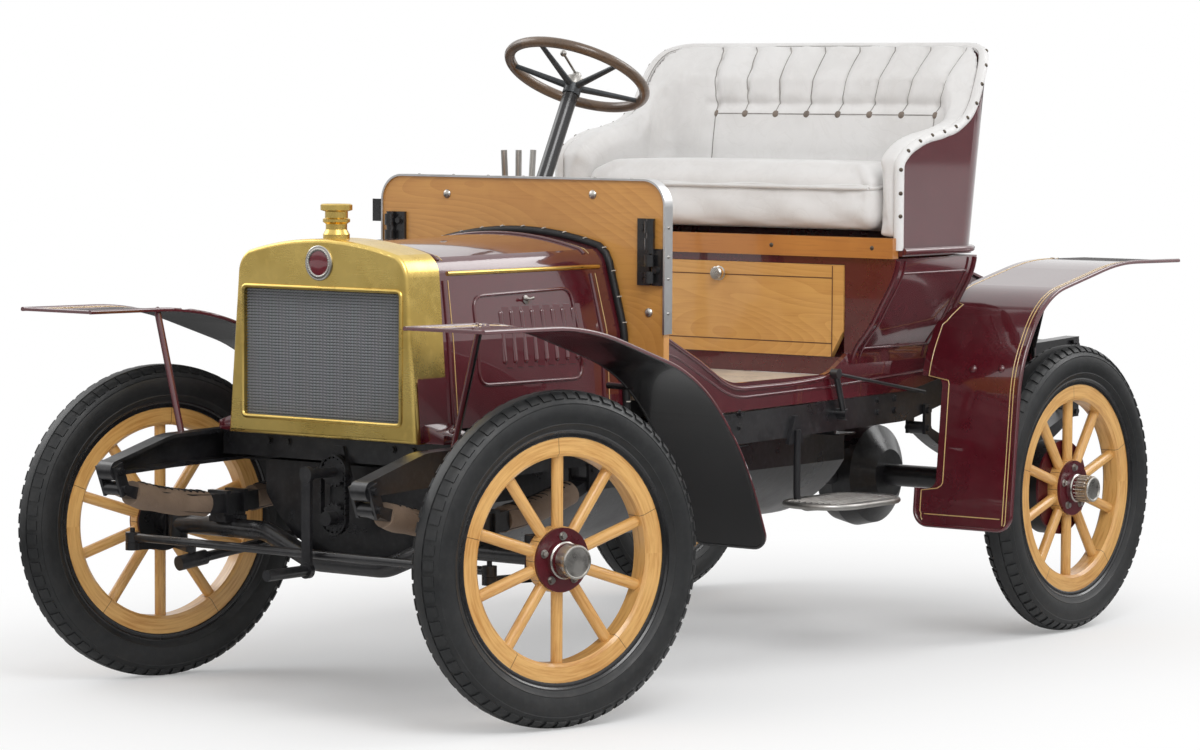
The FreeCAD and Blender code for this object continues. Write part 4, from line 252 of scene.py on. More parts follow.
def dust_group():
    """Settled dust: more on faces that look up, broken up in patches."""
    g, given, out = new_group("Settled dust", {"Scale": 14.0, "Amount": 0.3}, ("Mask",))
    up = g.spread(g.parts(g.add("NewGeometry").outputs["Normal"])["Z"], -0.3, 1.0, 0.25, 1.0)
    broken = g.spread(g.noise(given["Vector"], given["Scale"], 6.0, Roughness=0.7), 0.42, 0.7)
    g.link(g.times(g.times(up, broken), given["Amount"]), out["Mask"])
    return g.tree


WOOD_TONES = {"Light": (0.7, 0.4, 0.13, 1), "Dark": (0.4, 0.17, 0.04, 1)}


def board_group():
    """Veneer whose grain runs along the first axis of its vector."""
    inputs = {**WOOD_TONES, "Figure": 7.0, "Contrast": 0.6}
    g, given, out = new_group("Board grain", inputs, ("Colour", "Height"))
    long_way = g.stretch(given["Vector"], (0.32, 1.0, 1.0))
    wander = g.noise(long_way, 2.3, 1.5, Distortion=0.6)
    figure = g.calc("FRACT", g.times(wander, given["Figure"]))
    threads = g.stretch(given["Vector"], (7.0, 170.0, 170.0))
    fibre = g.noise(threads, 1.0, 5.0, Roughness=0.65)
    mixed = g.plus(g.times(figure, 0.6), g.times(g.spread(fibre, 0.5, 0.68), 0.45))
    share = g.times(mixed, given["Contrast"])
    g.link(g.mix(share, given["Light"], given["Dark"]), out["Colour"])
    g.link(fibre, out["Height"])
    return g.tree


def wheel_wood_group():
    """Ash of a spoked wheel: grain along each spoke, round the felloe, and the felloe's joints."""
    inputs = {**WOOD_TONES, "Felloe": 0.231, "Joints": 5.0}
    g, given, out = new_group("Wheel wood", inputs, ("Colour", "Height"))
    x, y, z = (g.parts(given["Vector"])[i] for i in "XYZ")
    radius = g.calc("SQRT", g.plus(g.times(x, x), g.times(z, z)))
    angle = g.calc("ARCTAN2", z, x)
    across = g.times(y, 150.0)

    def streaks(along, round_it):
        place = g.add("CombineXYZ", {"X": along, "Y": round_it, "Z": across}).outputs[0]
        return g.noise(place, 1.0, 5.0, Roughness=0.65)

    def from_line(share):
        """Distance from the nearest of a ring of joints."""
        return g.times(g.calc("ABSOLUTE", g.minus(g.calc("FRACT", share), 0.5)), radius)

    spoke = streaks(g.times(radius, 9.0), g.times(angle, 26.0))
    felloe = streaks(g.times(angle, 3.0), g.times(radius, 170.0))
    outer = g.calc("GREATER_THAN", radius, given["Felloe"])
    streak = g.plus(g.times(spoke, g.minus(1.0, outer)), g.times(felloe, outer))
    cloud = g.noise(given["Vector"], 7.0, 2.0)
    turn = g.calc("DIVIDE", angle, 2 * math.pi)
    joint = from_line(g.plus(g.times(turn, given["Joints"]), 10.3))
    crack = g.times(g.calc("LESS_THAN", joint, 0.0006), outer)
    mitre = from_line(g.plus(g.times(turn, 10.0), 10.5))
    gap = g.times(g.calc("LESS_THAN", mitre, 0.0012), g.calc("LESS_THAN", radius, 0.112))
    tone = g.times(g.spread(streak, 0.42, 0.7), 0.8)
    tone = g.plus(tone, g.times(g.spread(cloud, 0.45, 0.75), 0.35))
    base = g.mix(tone, given["Light"], given["Dark"])
    line = g.calc("MAXIMUM", crack, gap)
    g.link(g.mix(g.times(line, 0.85), base, (0.06, 0.025, 0.01, 1)), out["Colour"])
    g.link(g.minus(streak, line), out["Height"])
    return g.tree


def hide_group():
    """Soft leather: fine pebbling and loose wrinkles, with a crease mask that carries painted shade.
    """
    inputs = {"Pebble": 420.0, "Wrinkle": 16.0}
    g, given, out = new_group("Leather hide", inputs, ("Height", "Creases"))
    cells = g.add("TexVoronoi", {"Vector": given["Vector"], "Scale": given["Pebble"]}, feature="F1")
    pebble = g.spread(cells.outputs["Distance"], 0.0, 0.7, 1.0, 0.0)
    swirl = g.noise(given["Vector"], given["Wrinkle"], 5.0, Distortion=1.4)
    crease = g.spread(g.calc("ABSOLUTE", g.minus(swirl, 0.5)), 0.0, 0.035, 1.0, 0.0)
    g.link(g.minus(g.times(pebble, 0.16), g.times(crease, 0.35)), out["Height"])
    g.link(crease, out["Creases"])
    return g.tree


def scratch_group():
    """Polishing marks: streaks along the first axis, as a height and a change of gloss."""
    inputs = {"Fineness": 260.0, "Low": 0.15, "High": 0.35}
    g, given, out = new_group("Polish marks", inputs, ("Height", "Roughness"))
    streaky = g.stretch(given["Vector"], (0.06, 1.0, 1.0))
    fine = g.noise(streaky, given["Fineness"], 4.0, Roughness=0.7)
    mixed = g.plus(g.times(fine, 0.35), g.times(g.noise(given["Vector"], 9.0, 4.0), 0.65))
    g.link(g.spread(mixed, 0.35, 0.65, given["Low"], given["High"]), out["Roughness"])
    g.link(fine, out["Height"])
    return g.tree


def lining_group():
    """The side of a fender that faces its wheel, as a mask."""
    g, given, out = new_group("Wheel side", {"Edge": -0.004}, ("Mask",))
    flat = g.stretch(given["Vector"], (1.0, 0.0, 1.0))
    normal = g.add("NewGeometry").outputs["Normal"]
    facing = g.add("VectorMath", {0: normal, 1: flat}, operation="DOT_PRODUCT")
    g.link(g.calc("LESS_THAN", facing.outputs["Value"], given["Edge"]), out["Mask"])
    return g.tree


GROUPS = {}
GROUP_MAKERS = {
    "tone": tone_group,
    "ripple": ripple_group,
    "dust": dust_group,
    "board": board_group,
    "wheel_wood": wheel_wood_group,
    "hide": hide_group,
    "scratch": scratch_group,
    "lining": lining_group,
}

# Finishes
FINISHES = {}


class Finish(Graph):
    """A material with its shader and an Object coordinate, turned or moved where asked."""

    def __init__(self, name, location=None, rotation=None, **shader):
        made = bpy.data.materials.new(name)
        made.use_nodes = True
        super().__init__(made.node_tree)
        self.tree.nodes.clear()
        self.bsdf = self.add("BsdfPrincipled")
        self.add("OutputMaterial", {"Surface": self.bsdf.outputs[0]})
        self.feed(**shader)
        self.vector = self.add("TexCoord").outputs["Object"]
        if location is not None or rotation is not None:
            moved = {"Location": location or (0, 0, 0), "Rotation": rotation or (0, 0, 0)}
            moved = self.add("Mapping", {"Vector": self.vector, **moved}, vector_type="TEXTURE")
            self.vector = moved.outputs["Vector"]
        FINISHES[name] = made

    def feed(self, **values):
        """Sockets or values for the shader's own inputs."""
        for label, value in values.items():
            self.link(value, self.bsdf.inputs[label.replace("_", " ")])

    def tone(self, colour, deep, pale, scale, amount):
        """Changing colour and its mask; deep and pale are colours, or factors of the colour."""
        deep, pale = (rgba(colour, c) if isinstance(c, float) else rgba(c) for c in (deep, pale))
        shades = {"Colour": rgba(colour), "Deep": deep, "Pale": pale}
        made = self.use("tone", Vector=self.vector, Scale=scale, Amount=amount, **shades)
        return made["Colour"], made["Mask"]

    def dust(self, shown, colour, scale, amount):
        """A colour under settled dust, and the dust's mask."""
        mask = self.use("dust", Vector=self.vector, Scale=scale, Amount=amount)["Mask"]
        return self.mix(mask, shown, rgba(colour)), mask

    def gloss(self, mask, low, high):
        self.feed(Roughness=self.spread(mask, 0.3, 0.7, low, high))

    def bump(self, height, strength, distance=0.001):
        made = self.add("Bump", {"Height": height, "Strength": strength, "Distance": distance})
        self.feed(Normal=made.outputs["Normal"])

    def ripple(self, scale, grit, strength, distance=0.001):
        height = self.use("ripple", Vector=self.vector, Scale=scale, Grit=grit)["Height"]
        self.bump(height, strength, distance)


def make_paint(name, colour, location=None, lined=None):
    """Hand-laid coach enamel under varnish. lined gives the colour of a fender's wheel side."""
    f = Finish(name, location, Coat_Weight=1.0, Coat_Roughness=0.03, Coat_IOR=1.6)
    shown, mask = f.tone(colour, 0.72, 1.25, 3.0, 0.45)
    if lined is not None:
        side = f.use("lining", Vector=f.vector)["Mask"]
        shown = f.mix(side, shown, rgba(lined))
        f.feed(Coat_Weight=f.minus(1.0, f.times(side, 0.8)))
    f.feed(Base_Color=f.dust(shown, (0.42, 0.36, 0.32), 7.0, 0.05)[0])
    f.gloss(mask, 0.14, 0.24)
    f.ripple(16.0, 0.02, 0.05, 0.004)


def make_black(name, colour, dusty, rough, varnish):
    """Chassis black with road dust and thin wear."""
    f = Finish(name, Coat_Weight=varnish, Coat_Roughness=0.2)
    shown, mask = f.tone(colour, 0.5, 2.2, 9.0, 0.6)
    shown, dust = f.dust(shown, (0.16, 0.145, 0.13), 18.0, dusty)
    worn = f.spread(mask, 0.3, 0.7, rough - 0.08, rough + 0.08)
    f.feed(Base_Color=shown, Roughness=f.calc("ADD", worn, f.times(dust, 0.5), clamp=True))
    f.ripple(70.0, 0.25, 0.18, 0.002)


def make_metal(name, colour, low, high, tarnish, rotation=None, strength=0.04):
    """Polished or worn bare metal."""
    f = Finish(name, None, rotation, Metallic=1.0)
    f.feed(Base_Color=f.tone(colour, tarnish, 1.12, 5.0, 0.5)[0])
    marks = f.use("scratch", Vector=f.vector, Fineness=300.0, Low=low, High=high)
    f.feed(Roughness=marks["Roughness"])
    f.bump(marks["Height"], strength)


def make_board(name, light, dark, figure, contrast, rotation=None):
    """Varnished veneer with its grain along the turned first axis."""
    f = Finish(name, None, rotation, Coat_Weight=0.7, Coat_Roughness=0.08)
    wood = {"Light": rgba(light), "Dark": rgba(dark), "Figure": figure, "Contrast": contrast}
    grain = f.use("board", Vector=f.vector, **wood)
    f.feed(Base_Color=f.tone(grain["Colour"], dark, light, 2.2, 0.35)[0])
    f.gloss(grain["Height"], 0.3, 0.45)
    f.bump(grain["Height"], 0.06)


def on_wheel(name, wheel, **shader):
    """A finish that turns with its wheel."""
    place = wheel_frame(wheel)
    return Finish(name, place.to_translation(), place.to_euler(), **shader)


def make_wheel_wood(name, wheel, light, dark):
    """Varnished ash with a little dust."""
    f = on_wheel(name, wheel, Coat_Weight=0.55, Coat_Roughness=0.1)
    grain = f.use("wheel_wood", Vector=f.vector, Light=rgba(light), Dark=rgba(dark))
    f.feed(Base_Color=f.dust(grain["Colour"], (0.25, 0.14, 0.05), 22.0, 0.12)[0])
    f.gloss(grain["Height"], 0.3, 0.45)
    f.bump(grain["Height"], 0.12)


def make_hub_finish(name, wheel, paint, nickel, reach):
    """Painted flange with a nickel cap, told apart by how far out of the wheel they stand."""
    cap_radius, behind = 0.042, -0.020
    f = on_wheel(name, wheel)
    out = f.parts(f.vector)["Y"]
    radius = f.length(f.stretch(f.vector, (1.0, 0.0, 1.0)))
    cap = f.times(f.calc("GREATER_THAN", out, reach), f.calc("LESS_THAN", radius, cap_radius))
    flange = f.tone(paint, 0.5, 1.5, 20.0, 0.6)[0]
    steel, mask = f.tone(nickel, 0.55, 1.1, 26.0, 0.7)
    painted = f.mix(f.calc("LESS_THAN", out, behind), flange, rgba(BLACK))
    f.feed(Base_Color=f.mix(cap, painted, steel), Metallic=cap)
    f.gloss(mask, 0.24, 0.42)
    f.ripple(90.0, 0.3, 0.12)


def make_rubber(name, colour):
    """Grey-black rubber with a little road dust."""
    f = Finish(name, Specular_IOR_Level=0.45)
    shown, mask = f.tone(colour, 0.7, 1.5, 8.0, 0.55)
    f.feed(Base_Color=f.dust(shown, (0.19, 0.17, 0.15), 26.0, 0.1)[0])
    f.gloss(mask, 0.4, 0.54)
    f.ripple(120.0, 0.5, 0.16)


def make_leather(name, colour, deep, pebble, wrinkle, strength, rough=0.5):
    """Pebbled hide, with painted shade darkening its creases."""
    f = Finish(name, Specular_IOR_Level=0.35)
    hide = f.use("hide", Vector=f.vector, Pebble=pebble, Wrinkle=wrinkle)
    shown, mask = f.tone(colour, deep, 1.05, 5.0, 0.3)
    # Painted shade: the colour is darkened towards deep in the hide's creases
    f.feed(Base_Color=f.mix(f.times(hide["Creases"], 0.1), shown, rgba(deep)))
    f.gloss(mask, rough - 0.07, rough + 0.07)
    f.bump(hide["Height"], strength, 0.003)


def make_step(name, level, black, tread):
    """Black hangers over a tread of worn steel, told apart by their height."""
    f = Finish(name)
    hanger = f.calc("GREATER_THAN", f.parts(f.vector)["Z"], level)
    shown, mask = f.tone(tread, 0.5, 1.2, 18.0, 0.7)
    f.feed(Base_Color=f.mix(hanger, shown, rgba(black)), Metallic=f.minus(1.0, hanger))
    f.gloss(mask, 0.32, 0.5)
    f.ripple(80.0, 0.3, 0.15)


def make_plain(name, colour, rough, metallic=0.0, grit=0.3, strength=0.15, mottle=0.6):
    """A plain painted, cast or sewn surface."""
    f = Finish(name, Metallic=metallic)
    shown, mask = f.tone(colour, 0.6, 1.3, 14.0, mottle)
    f.feed(Base_Color=shown)
    f.gloss(mask, rough - 0.08, rough + 0.08)
    f.ripple(150.0, grit, strength)


def settle(name, mesh, finish, body="chassis"):
    """A mesh made into a piece that rides on a CAD body."""
    piece = bpy.data.objects.new(name, mesh)
    bpy.context.scene.collection.objects.link(piece)
    dress(piece, finish, body)
    return piece


def dress(piece, finish, body):
    """The finish and body of a piece."""
    piece.data.materials.clear()
    piece.data.materials.append(FINISHES[finish])
    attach(piece, body)


def finish_mesh(name, bm, finish, body="chassis", smooth=True, angle=40.0):
    """A bmesh made into a piece, sharp where its faces meet at more than an angle."""
    bmesh.ops.remove_doubles(bm, verts=bm.verts, dist=1e-6)
    bmesh.ops.recalc_face_normals(bm, faces=bm.faces)
    for edge in bm.edges:
        edge.smooth = len(edge.link_faces) == 2 and edge.calc_face_angle(0) < math.radians(angle)
    for face in bm.faces:
        face.smooth = smooth
    return settle(name, to_mesh(name, bm), finish, body)


def to_mesh(name, bm):
    """A new mesh from a bmesh, which is freed."""
    mesh = bpy.data.meshes.new(name)
    bm.to_mesh(mesh)
    bm.free()
    return mesh


def thicken(piece, thickness):
    """A surface given the thickness of its sheet."""
    sheet = piece.modifiers.new("Sheet", "SOLIDIFY")
    sheet.thickness = thickness
    sheet.offset = 0.0


def tube_mesh(name, lines, radius, cyclic=False, kind="POLY", sides=3):
    """Round bars along lines of points, as one mesh."""
    curve = bpy.data.curves.new(name, "CURVE")
    curve.dimensions = "3D"
    curve.bevel_depth = radius
    curve.bevel_resolution = sides
    curve.use_fill_caps = True
    curve.resolution_u = 6
    for points in lines:
        spline = curve.splines.new(kind)
        spline.points.add(len(points) - 1)
        for knot, point in zip(spline.points, points):
            knot.co = (*point, 1)
        spline.use_cyclic_u = cyclic
        if kind == "NURBS":
            spline.order_u = 4
            spline.use_endpoint_u = not cyclic
    holder = bpy.data.objects.new(name + "_line", curve)
    mesh = bpy.data.meshes.new_from_object(holder)
    bpy.data.objects.remove(holder)
    bpy.data.curves.remove(curve)
    mesh.name = name
    for face in mesh.polygons:
        face.use_smooth = True
    return mesh


def tubes(name, lines, radius, finish, body="chassis", **shape):
    """A piece of round bars along lines of points."""
    return settle(name, tube_mesh(name, lines, radius, **shape), finish, body)


def along(axis, centre, roll=0.0):
    """Matrix that stands a part's Z axis along a direction at a place."""
    turn = UP.rotation_difference(Vector(axis).normalized())
    return Matrix.Translation(centre) @ turn.to_matrix().to_4x4() @ Matrix.Rotation(roll, 4, "Z")


def ball(bm, place, radius, around=12, rings=8):
    shape = {"u_segments": around, "v_segments": rings, "radius": radius}
    bmesh.ops.create_uvsphere(bm, matrix=Matrix.Translation(place), **shape)


def block(bm, place, shape):
    """A box of a shape at a place, as its vertices."""
    stand = Matrix.Translation(place) @ Matrix.Diagonal((*shape, 1))
    return bmesh.ops.create_cube(bm, size=1.0, matrix=stand)["verts"]


def round_heads(name, places, radius, finish, height=0.6, rings=6):
    """Domed heads such as nails and buttons, each at a (centre, direction)."""
    bm = bmesh.new()
    for centre, axis in places:
        shape = along(axis, centre) @ Matrix.Diagonal((radius, radius, radius * height, 1))
        bmesh.ops.create_uvsphere(bm, u_segments=12, v_segments=rings, radius=1.0, matrix=shape)
    return finish_mesh(name, bm, finish)


def hex_heads(name, places, radius, height, finish, body="chassis"):
    """Hexagon bolt heads on round washers, each at a (centre, direction)."""
    washer = radius * 1.35
    parts = ((0.12, 16, washer, washer * 0.96, 0.24), (0.62, 6, radius, radius * 0.94, 0.76))
    bm = bmesh.new()
    for i, (centre, axis) in enumerate(places):
        axis = Vector(axis).normalized()
        for middle, sides, foot, top, deep in parts:
            stand = along(axis, Vector(centre) + axis * height * middle, 0.4 + i * 0.7)
            shape = {"segments": sides, "radius1": foot, "radius2": top, "depth": height * deep}
            bmesh.ops.create_cone(bm, cap_ends=True, matrix=stand, **shape)
    return finish_mesh(name, bm, finish, body, angle=30)


def new_verts(grown):
    """The vertices that an extrusion made."""
    return [v for v in grown["geom"] if isinstance(v, bmesh.types.BMVert)]


def lathe(bm, outline, steps, place):
    """A turned part: (radius, height) pairs spun round the Z axis and stood at a place."""
    before = set(bm.verts)
    verts = [bm.verts.new((r, 0, h)) for r, h in outline]
    edges = [bm.edges.new(pair) for pair in zip(verts, verts[1:])]
    spin = {"cent": (0, 0, 0), "axis": (0, 0, 1), "angle": 2 * math.pi, "steps": steps}
    bmesh.ops.spin(bm, geom=verts + edges, use_merge=True, **spin)
    bmesh.ops.remove_doubles(bm, verts=[v for v in bm.verts if v not in before], dist=1e-6)
    made = [v for v in bm.verts if v not in before]
    bmesh.ops.transform(bm, matrix=place, verts=made)


def mirrored(half):
    """A closed outline from the half with positive heights."""
    return half + [(r, -h) for r, h in reversed(half[1:-1])] + half[:1]


def bar(bm, a, b, radius, sides=10):
    """A straight round bar between two points."""
    a, b = Vector(a), Vector(b)
    shape = {"segments": sides, "radius1": radius, "radius2": radius, "depth": (b - a).length}
    bmesh.ops.create_cone(bm, cap_ends=True, matrix=along(b - a, (a + b) / 2), **shape)


def bent(points, radius, steps=5):
    """Points of a line whose corners are rounded by arcs."""
    points = [Vector(p) for p in points]
    line = [points[0]]
    for a, b, c in zip(points, points[1:], points[2:]):
        reach = min(radius, (b - a).length * 0.49, (c - b).length * 0.49)
        start, end = b + (a - b).normalized() * reach, b + (c - b).normalized() * reach
        for i in range(steps + 1):
            t = i / steps
            line.append(start.lerp(b, t).lerp(b.lerp(end, t), t))
    return line + [points[-1]]


def evenly(points, pitch):
    """Places at an even pitch along a line of points."""
    found, carry = [], pitch / 2
    for a, b in zip(points, points[1:]):
        span = (b - a).length
        while carry <= span:
            found.append(a.lerp(b, carry / span))
            carry += pitch
        carry -= span
    return found


# Sizes and colours
class CarPaintSettings(bpy.types.PropertyGroup):
    body_colour: FloatVectorProperty(
        name="Body paint", description="Colour of the body's enamel",
        subtype="COLOR", size=3, min=0, max=1, default=(0.088, 0.007, 0.013),
    )
    stripe_colour: FloatVectorProperty(
        name="Pinstripe", description="Colour of the hand-drawn lines",
        subtype="COLOR", size=3, min=0, max=1, default=(0.62, 0.42, 0.16),
    )
    chassis_colour: FloatVectorProperty(
        name="Chassis paint", description="Colour of the chassis black",
        subtype="COLOR", size=3, min=0, max=1, default=(0.012, 0.012, 0.014),
    )
    brass_colour: FloatVectorProperty(
        name="Brass", description="Colour of the radiator's brass",
        subtype="COLOR", size=3, min=0, max=1, default=(0.82, 0.60, 0.19),
    )
    spoke_colour: FloatVectorProperty(
        name="Spokes", description="Light tone of the wheels' ash",
        subtype="COLOR", size=3, min=0, max=1, default=(0.74, 0.43, 0.145),
    )
    board_colour: FloatVectorProperty(
        name="Boards", description="Light tone of the varnished boards",
        subtype="COLOR", size=3, min=0, max=1, default=(0.70, 0.345, 0.085),
    )
    leather_colour: FloatVectorProperty(
        name="Leather", description="Colour of the seat's leather",
        subtype="COLOR", size=3, min=0, max=1, default=(0.76, 0.75, 0.74),
    )
    rubber_colour: FloatVectorProperty(
        name="Rubber", description="Colour of the tyres",
        subtype="COLOR", size=3, min=0, max=1, default=(0.016, 0.017, 0.018),
    )


class CarSizeSettings(bpy.types.PropertyGroup):
    lug_count: IntProperty(
        name="Tread ribs", description="Groups of three steps on each shoulder of a tyre",
        min=12, default=68,
    )
    lug_height: FloatProperty(
        name="Rib height", description="How far the tread's ribs stand out",
        subtype="DISTANCE", unit="LENGTH", min=0, default=0.0032,
    )
    core_rows: IntProperty(
        name="Core rows", description="Rows of folded fins in the radiator's core",
        min=4, default=44,
    )
    fin_pitch: FloatProperty(
        name="Fin pitch", description="Width of one fold of the core's fins",
        subtype="DISTANCE", unit="LENGTH", min=0.002, default=0.0052,
    )
    button_count: IntProperty(
        name="Buttons", description="Buttons across the seat's back", min=2, default=8
    )


class CarViewSettings(bpy.types.PropertyGroup):
    camera_place: FloatVectorProperty(
        name="Camera place", description="Where the camera stands",
        subtype="TRANSLATION", unit="LENGTH", size=3, default=(8.3081, 6.1589, 1.4270),
    )
    bearing: FloatProperty(
        name="Bearing", description="Turn of the camera's view from the car's long axis",
        subtype="ANGLE", default=math.radians(37.03),
    )
    drop: FloatProperty(
        name="Drop", description="How far the camera looks down",
        subtype="ANGLE", default=math.radians(4.0),
    )
    roll: FloatProperty(
        name="Roll", description="Turn of the camera about its own view",
        subtype="ANGLE", default=math.radians(0.3),
    )
    focal: FloatProperty(
        name="Focal length", description="Focal length in millimetres on a 36 mm sensor",
        min=20, default=122.19,
    )


class CAR_OT_finishes(bpy.types.Operator):
    """Mix every paint, wood, metal, rubber and leather of the car"""

    bl_idname = "car.finishes"
    bl_label = "Mix finishes"

    def execute(self, context):
        look = context.scene.car_paint
        red, black = look.body_colour, look.chassis_colour
        dull_black = (0.008, 0.008, 0.009)
        make_paint("burgundy", red)
        make_paint("front_fender_paint", red, (FRONT_X, 0, AXLE_Z), dull_black)
        make_paint("rear_fender_paint", red, (REAR_X, 0, AXLE_Z), dull_black)
        make_paint("pinstripe", look.stripe_colour)
        make_paint("enamel", (0.13, 0.008, 0.016))
        make_black("chassis_black", black, 0.14, 0.33, 0.45)
        make_black("gloss_black", (0.01, 0.01, 0.011), 0.06, 0.24, 0.5)
        make_metal("brass", look.brass_colour, 0.22, 0.38, (0.55, 0.36, 0.08), CROSSWISE, 0.012)
        make_metal("nickel", (0.62, 0.6, 0.56), 0.2, 0.38, (0.3, 0.28, 0.25))
        upright = (0, math.radians(90), 0)
        make_metal("aluminium", (0.72, 0.72, 0.72), 0.28, 0.42, (0.45, 0.45, 0.45), upright)
        make_metal("worn_steel", (0.45, 0.44, 0.42), 0.3, 0.5, (0.16, 0.13, 0.1))
        tread_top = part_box("steps")[0][2] + 0.032
        make_step("step_steel", tread_top, black, (0.42, 0.41, 0.4))
        make_board("dash_veneer", look.board_colour, (0.52, 0.215, 0.045), 64.0, 0.8, CROSSWISE)
        make_board("locker_veneer", (0.70, 0.38, 0.11), (0.52, 0.24, 0.055), 38.0, 0.75, CROSSWISE)
        make_board("rail_wood", (0.58, 0.24, 0.05), (0.3, 0.09, 0.018), 4.0, 0.7, CROSSWISE)
        make_board("rim_wood", (0.15, 0.09, 0.05), (0.045, 0.025, 0.015), 6.0, 0.9)
        make_rubber("rubber", look.rubber_colour)
        pale, brown, dark = (0.58, 0.56, 0.54), (0.09, 0.06, 0.04), (0.004, 0.004, 0.004)
        make_leather("white_leather", look.leather_colour, pale, 520.0, 9.0, 0.16)
        make_leather("old_leather", (0.22, 0.155, 0.11), brown, 300.0, 14.0, 0.35, 0.65)
        make_leather("black_leather", BLACK, dark, 300.0, 30.0, 0.3, 0.45)
        for name, colour, rough, more in (
            ("cast_iron", (0.05, 0.048, 0.045), 0.62, {"grit": 0.8, "strength": 0.4}),
            # Painted shade: near-black for the block and bars behind the fins, standing for the
            # shade deep in the radiator's core
            ("core_black", (0.015, 0.015, 0.017), 0.5, {"metallic": 0.3}),
            ("fin_metal", (0.34, 0.35, 0.37), 0.4, {"mottle": 0.1}),
            ("cream_floor", (0.6, 0.52, 0.42), 0.5, {}),
            # Painted shade: the grey of the shadow in the seat leather's creases, drawn as thin
            # lines
            ("crease_grey", (0.3, 0.285, 0.27), 0.75, {}),
            ("pale_thread", (0.62, 0.6, 0.55), 0.7, {}),
            ("button_cloth", (0.2, 0.16, 0.13), 0.6, {}),
            ("dark_nail", (0.1, 0.08, 0.06), 0.4, {"metallic": 0.8}),
            # Painted shade: dark brown for the shadow in the locker's frame grooves
            ("dark_wood", (0.12, 0.045, 0.012), 0.6, {}),
            ("spoke_grey", (0.07, 0.075, 0.08), 0.36, {"metallic": 0.5}),
        ):
            make_plain(name, colour, rough, **more)
        for wheel in WHEELS:
            make_wheel_wood("ash_" + wheel, wheel, look.spoke_colour, (0.5, 0.22, 0.045))
            make_hub_finish("hub_" + wheel, wheel, red, (0.55, 0.53, 0.5), 0.045)
        return {"FINISHED"}


LOOKS = {
    "burgundy": "bonnet_sides bonnet_lid body_tub rear_deck seat_shell",
    "front_fender_paint": "front_fenders",
    "rear_fender_paint": "rear_fenders",
    "chassis_black": "frame front_axle rear_axle front_springs rear_springs knuckle_left"
    " knuckle_right tie_rod drag_link pitman_arm undershield propshaft brake_linkage"
    " starting_crank",
    "gloss_black": "steering_column dash_brackets",
    "brass": "radiator_shell",
    "core_black": "radiator_core",
    "cast_iron": "engine",
    "dash_veneer": "dash_board",
    "locker_veneer": "locker_flap",
    "rail_wood": "seat_rail",
    "aluminium": "dash_trim",
    "worn_steel": "controls",
    "step_steel": "steps",
    "cream_floor": "floor",
    "white_leather": "seat_back seat_cushion",
    "spoke_grey": "steering_wheel",
    "rubber": " ".join("tyre_" + wheel for wheel in WHEELS),
}


class CAR_OT_frame_looks(bpy.types.Operator):
    """Give each CAD node of the car its finish"""

    bl_idname = "car.frame_looks"
    bl_label = "Finish the frame's parts"

    def execute(self, context):
        looks = {node: finish for finish, nodes in LOOKS.items() for node in nodes.split()}
        for wheel in WHEELS:
            looks["wheel_" + wheel] = "ash_" + wheel
            looks["hub_" + wheel] = "hub_" + wheel
        for node, item in frame["nodes"].items():
            item.data.materials.clear()
            item.data.materials.append(FINISHES[looks[node]])
        return {"FINISHED"}


# Outlines of turned parts, as (radius, height) pairs
TYRE_HALF = [
    (0.3800, 0.0), (0.3797, 0.0080), (0.3787, 0.0145), (0.3757, 0.0150), (0.3750, 0.0180),
    (0.3742, 0.0190), (0.3715, 0.0260), (0.3670, 0.0325), (0.3610, 0.0380), (0.3540, 0.0420),
    (0.3522, 0.0440), (0.3500, 0.0434), (0.3450, 0.0450), (0.3330, 0.0462), (0.3200, 0.0452),
    (0.3080, 0.0418), (0.3060, 0.0424), (0.3040, 0.0402), (0.2980, 0.0365), (0.2920, 0.0335),
    (0.2870, 0.0290), (0.2870, 0.0),
]
RIM_HALF = [
    (0.2757, 0.0), (0.2757, 0.0300), (0.2790, 0.0314), (0.2855, 0.0312), (0.2895, 0.0345),
    (0.2932, 0.0338), (0.2932, 0.0305), (0.2885, 0.0285), (0.2880, 0.0),
]
CAP_LIP = [
    (-0.0065, -0.002), (-0.0060, 0.0012), (-0.0035, 0.0022), (-0.0005, 0.0010), (0.0008, -0.0020),
    (0.0008, -0.0060), (-0.0010, -0.0070), (-0.0065, -0.002),
]
CAP_FOOT = [
    (-0.001, 0.0300), (0.0035, 0.0302), (0.0040, 0.0335), (0.0012, 0.0360), (-0.001, 0.0360),
    (-0.001, 0.0300),
]
BADGE_RING = [
    (0.0285, -0.001), (0.0285, 0.0032), (0.0300, 0.0042), (0.0335, 0.0042), (0.0350, 0.0034),
    (0.0385, 0.0040), (0.0405, 0.0028), (0.0410, -0.001), (0.0285, -0.001),
]
BADGE_FACE = [(0.0, 0.0036), (0.012, 0.0034), (0.022, 0.0029), (0.0284, 0.0020), (0.0284, -0.001)]
FOOT_NUT = [(0.0, 0.007), (0.006, 0.006), (0.0085, 0.002), (0.0085, -0.004)]
LATCH_POST = [
    (0.0, 0.0), (0.010, 0.0), (0.011, 0.002), (0.009, 0.003), (0.005, 0.004), (0.0045, 0.010),
    (0.0, 0.011),
]
WHEEL_BOSS = [
    (0.0, -0.0085), (0.019, -0.0088), (0.0225, -0.0100), (0.0238, -0.0125), (0.0238, -0.0300),
    (0.0, -0.0300),
]
WHEEL_NUT = [(0.0, 0.0065), (0.0085, 0.0055), (0.0118, 0.0015), (0.0118, -0.0100), (0.0, -0.0100)]


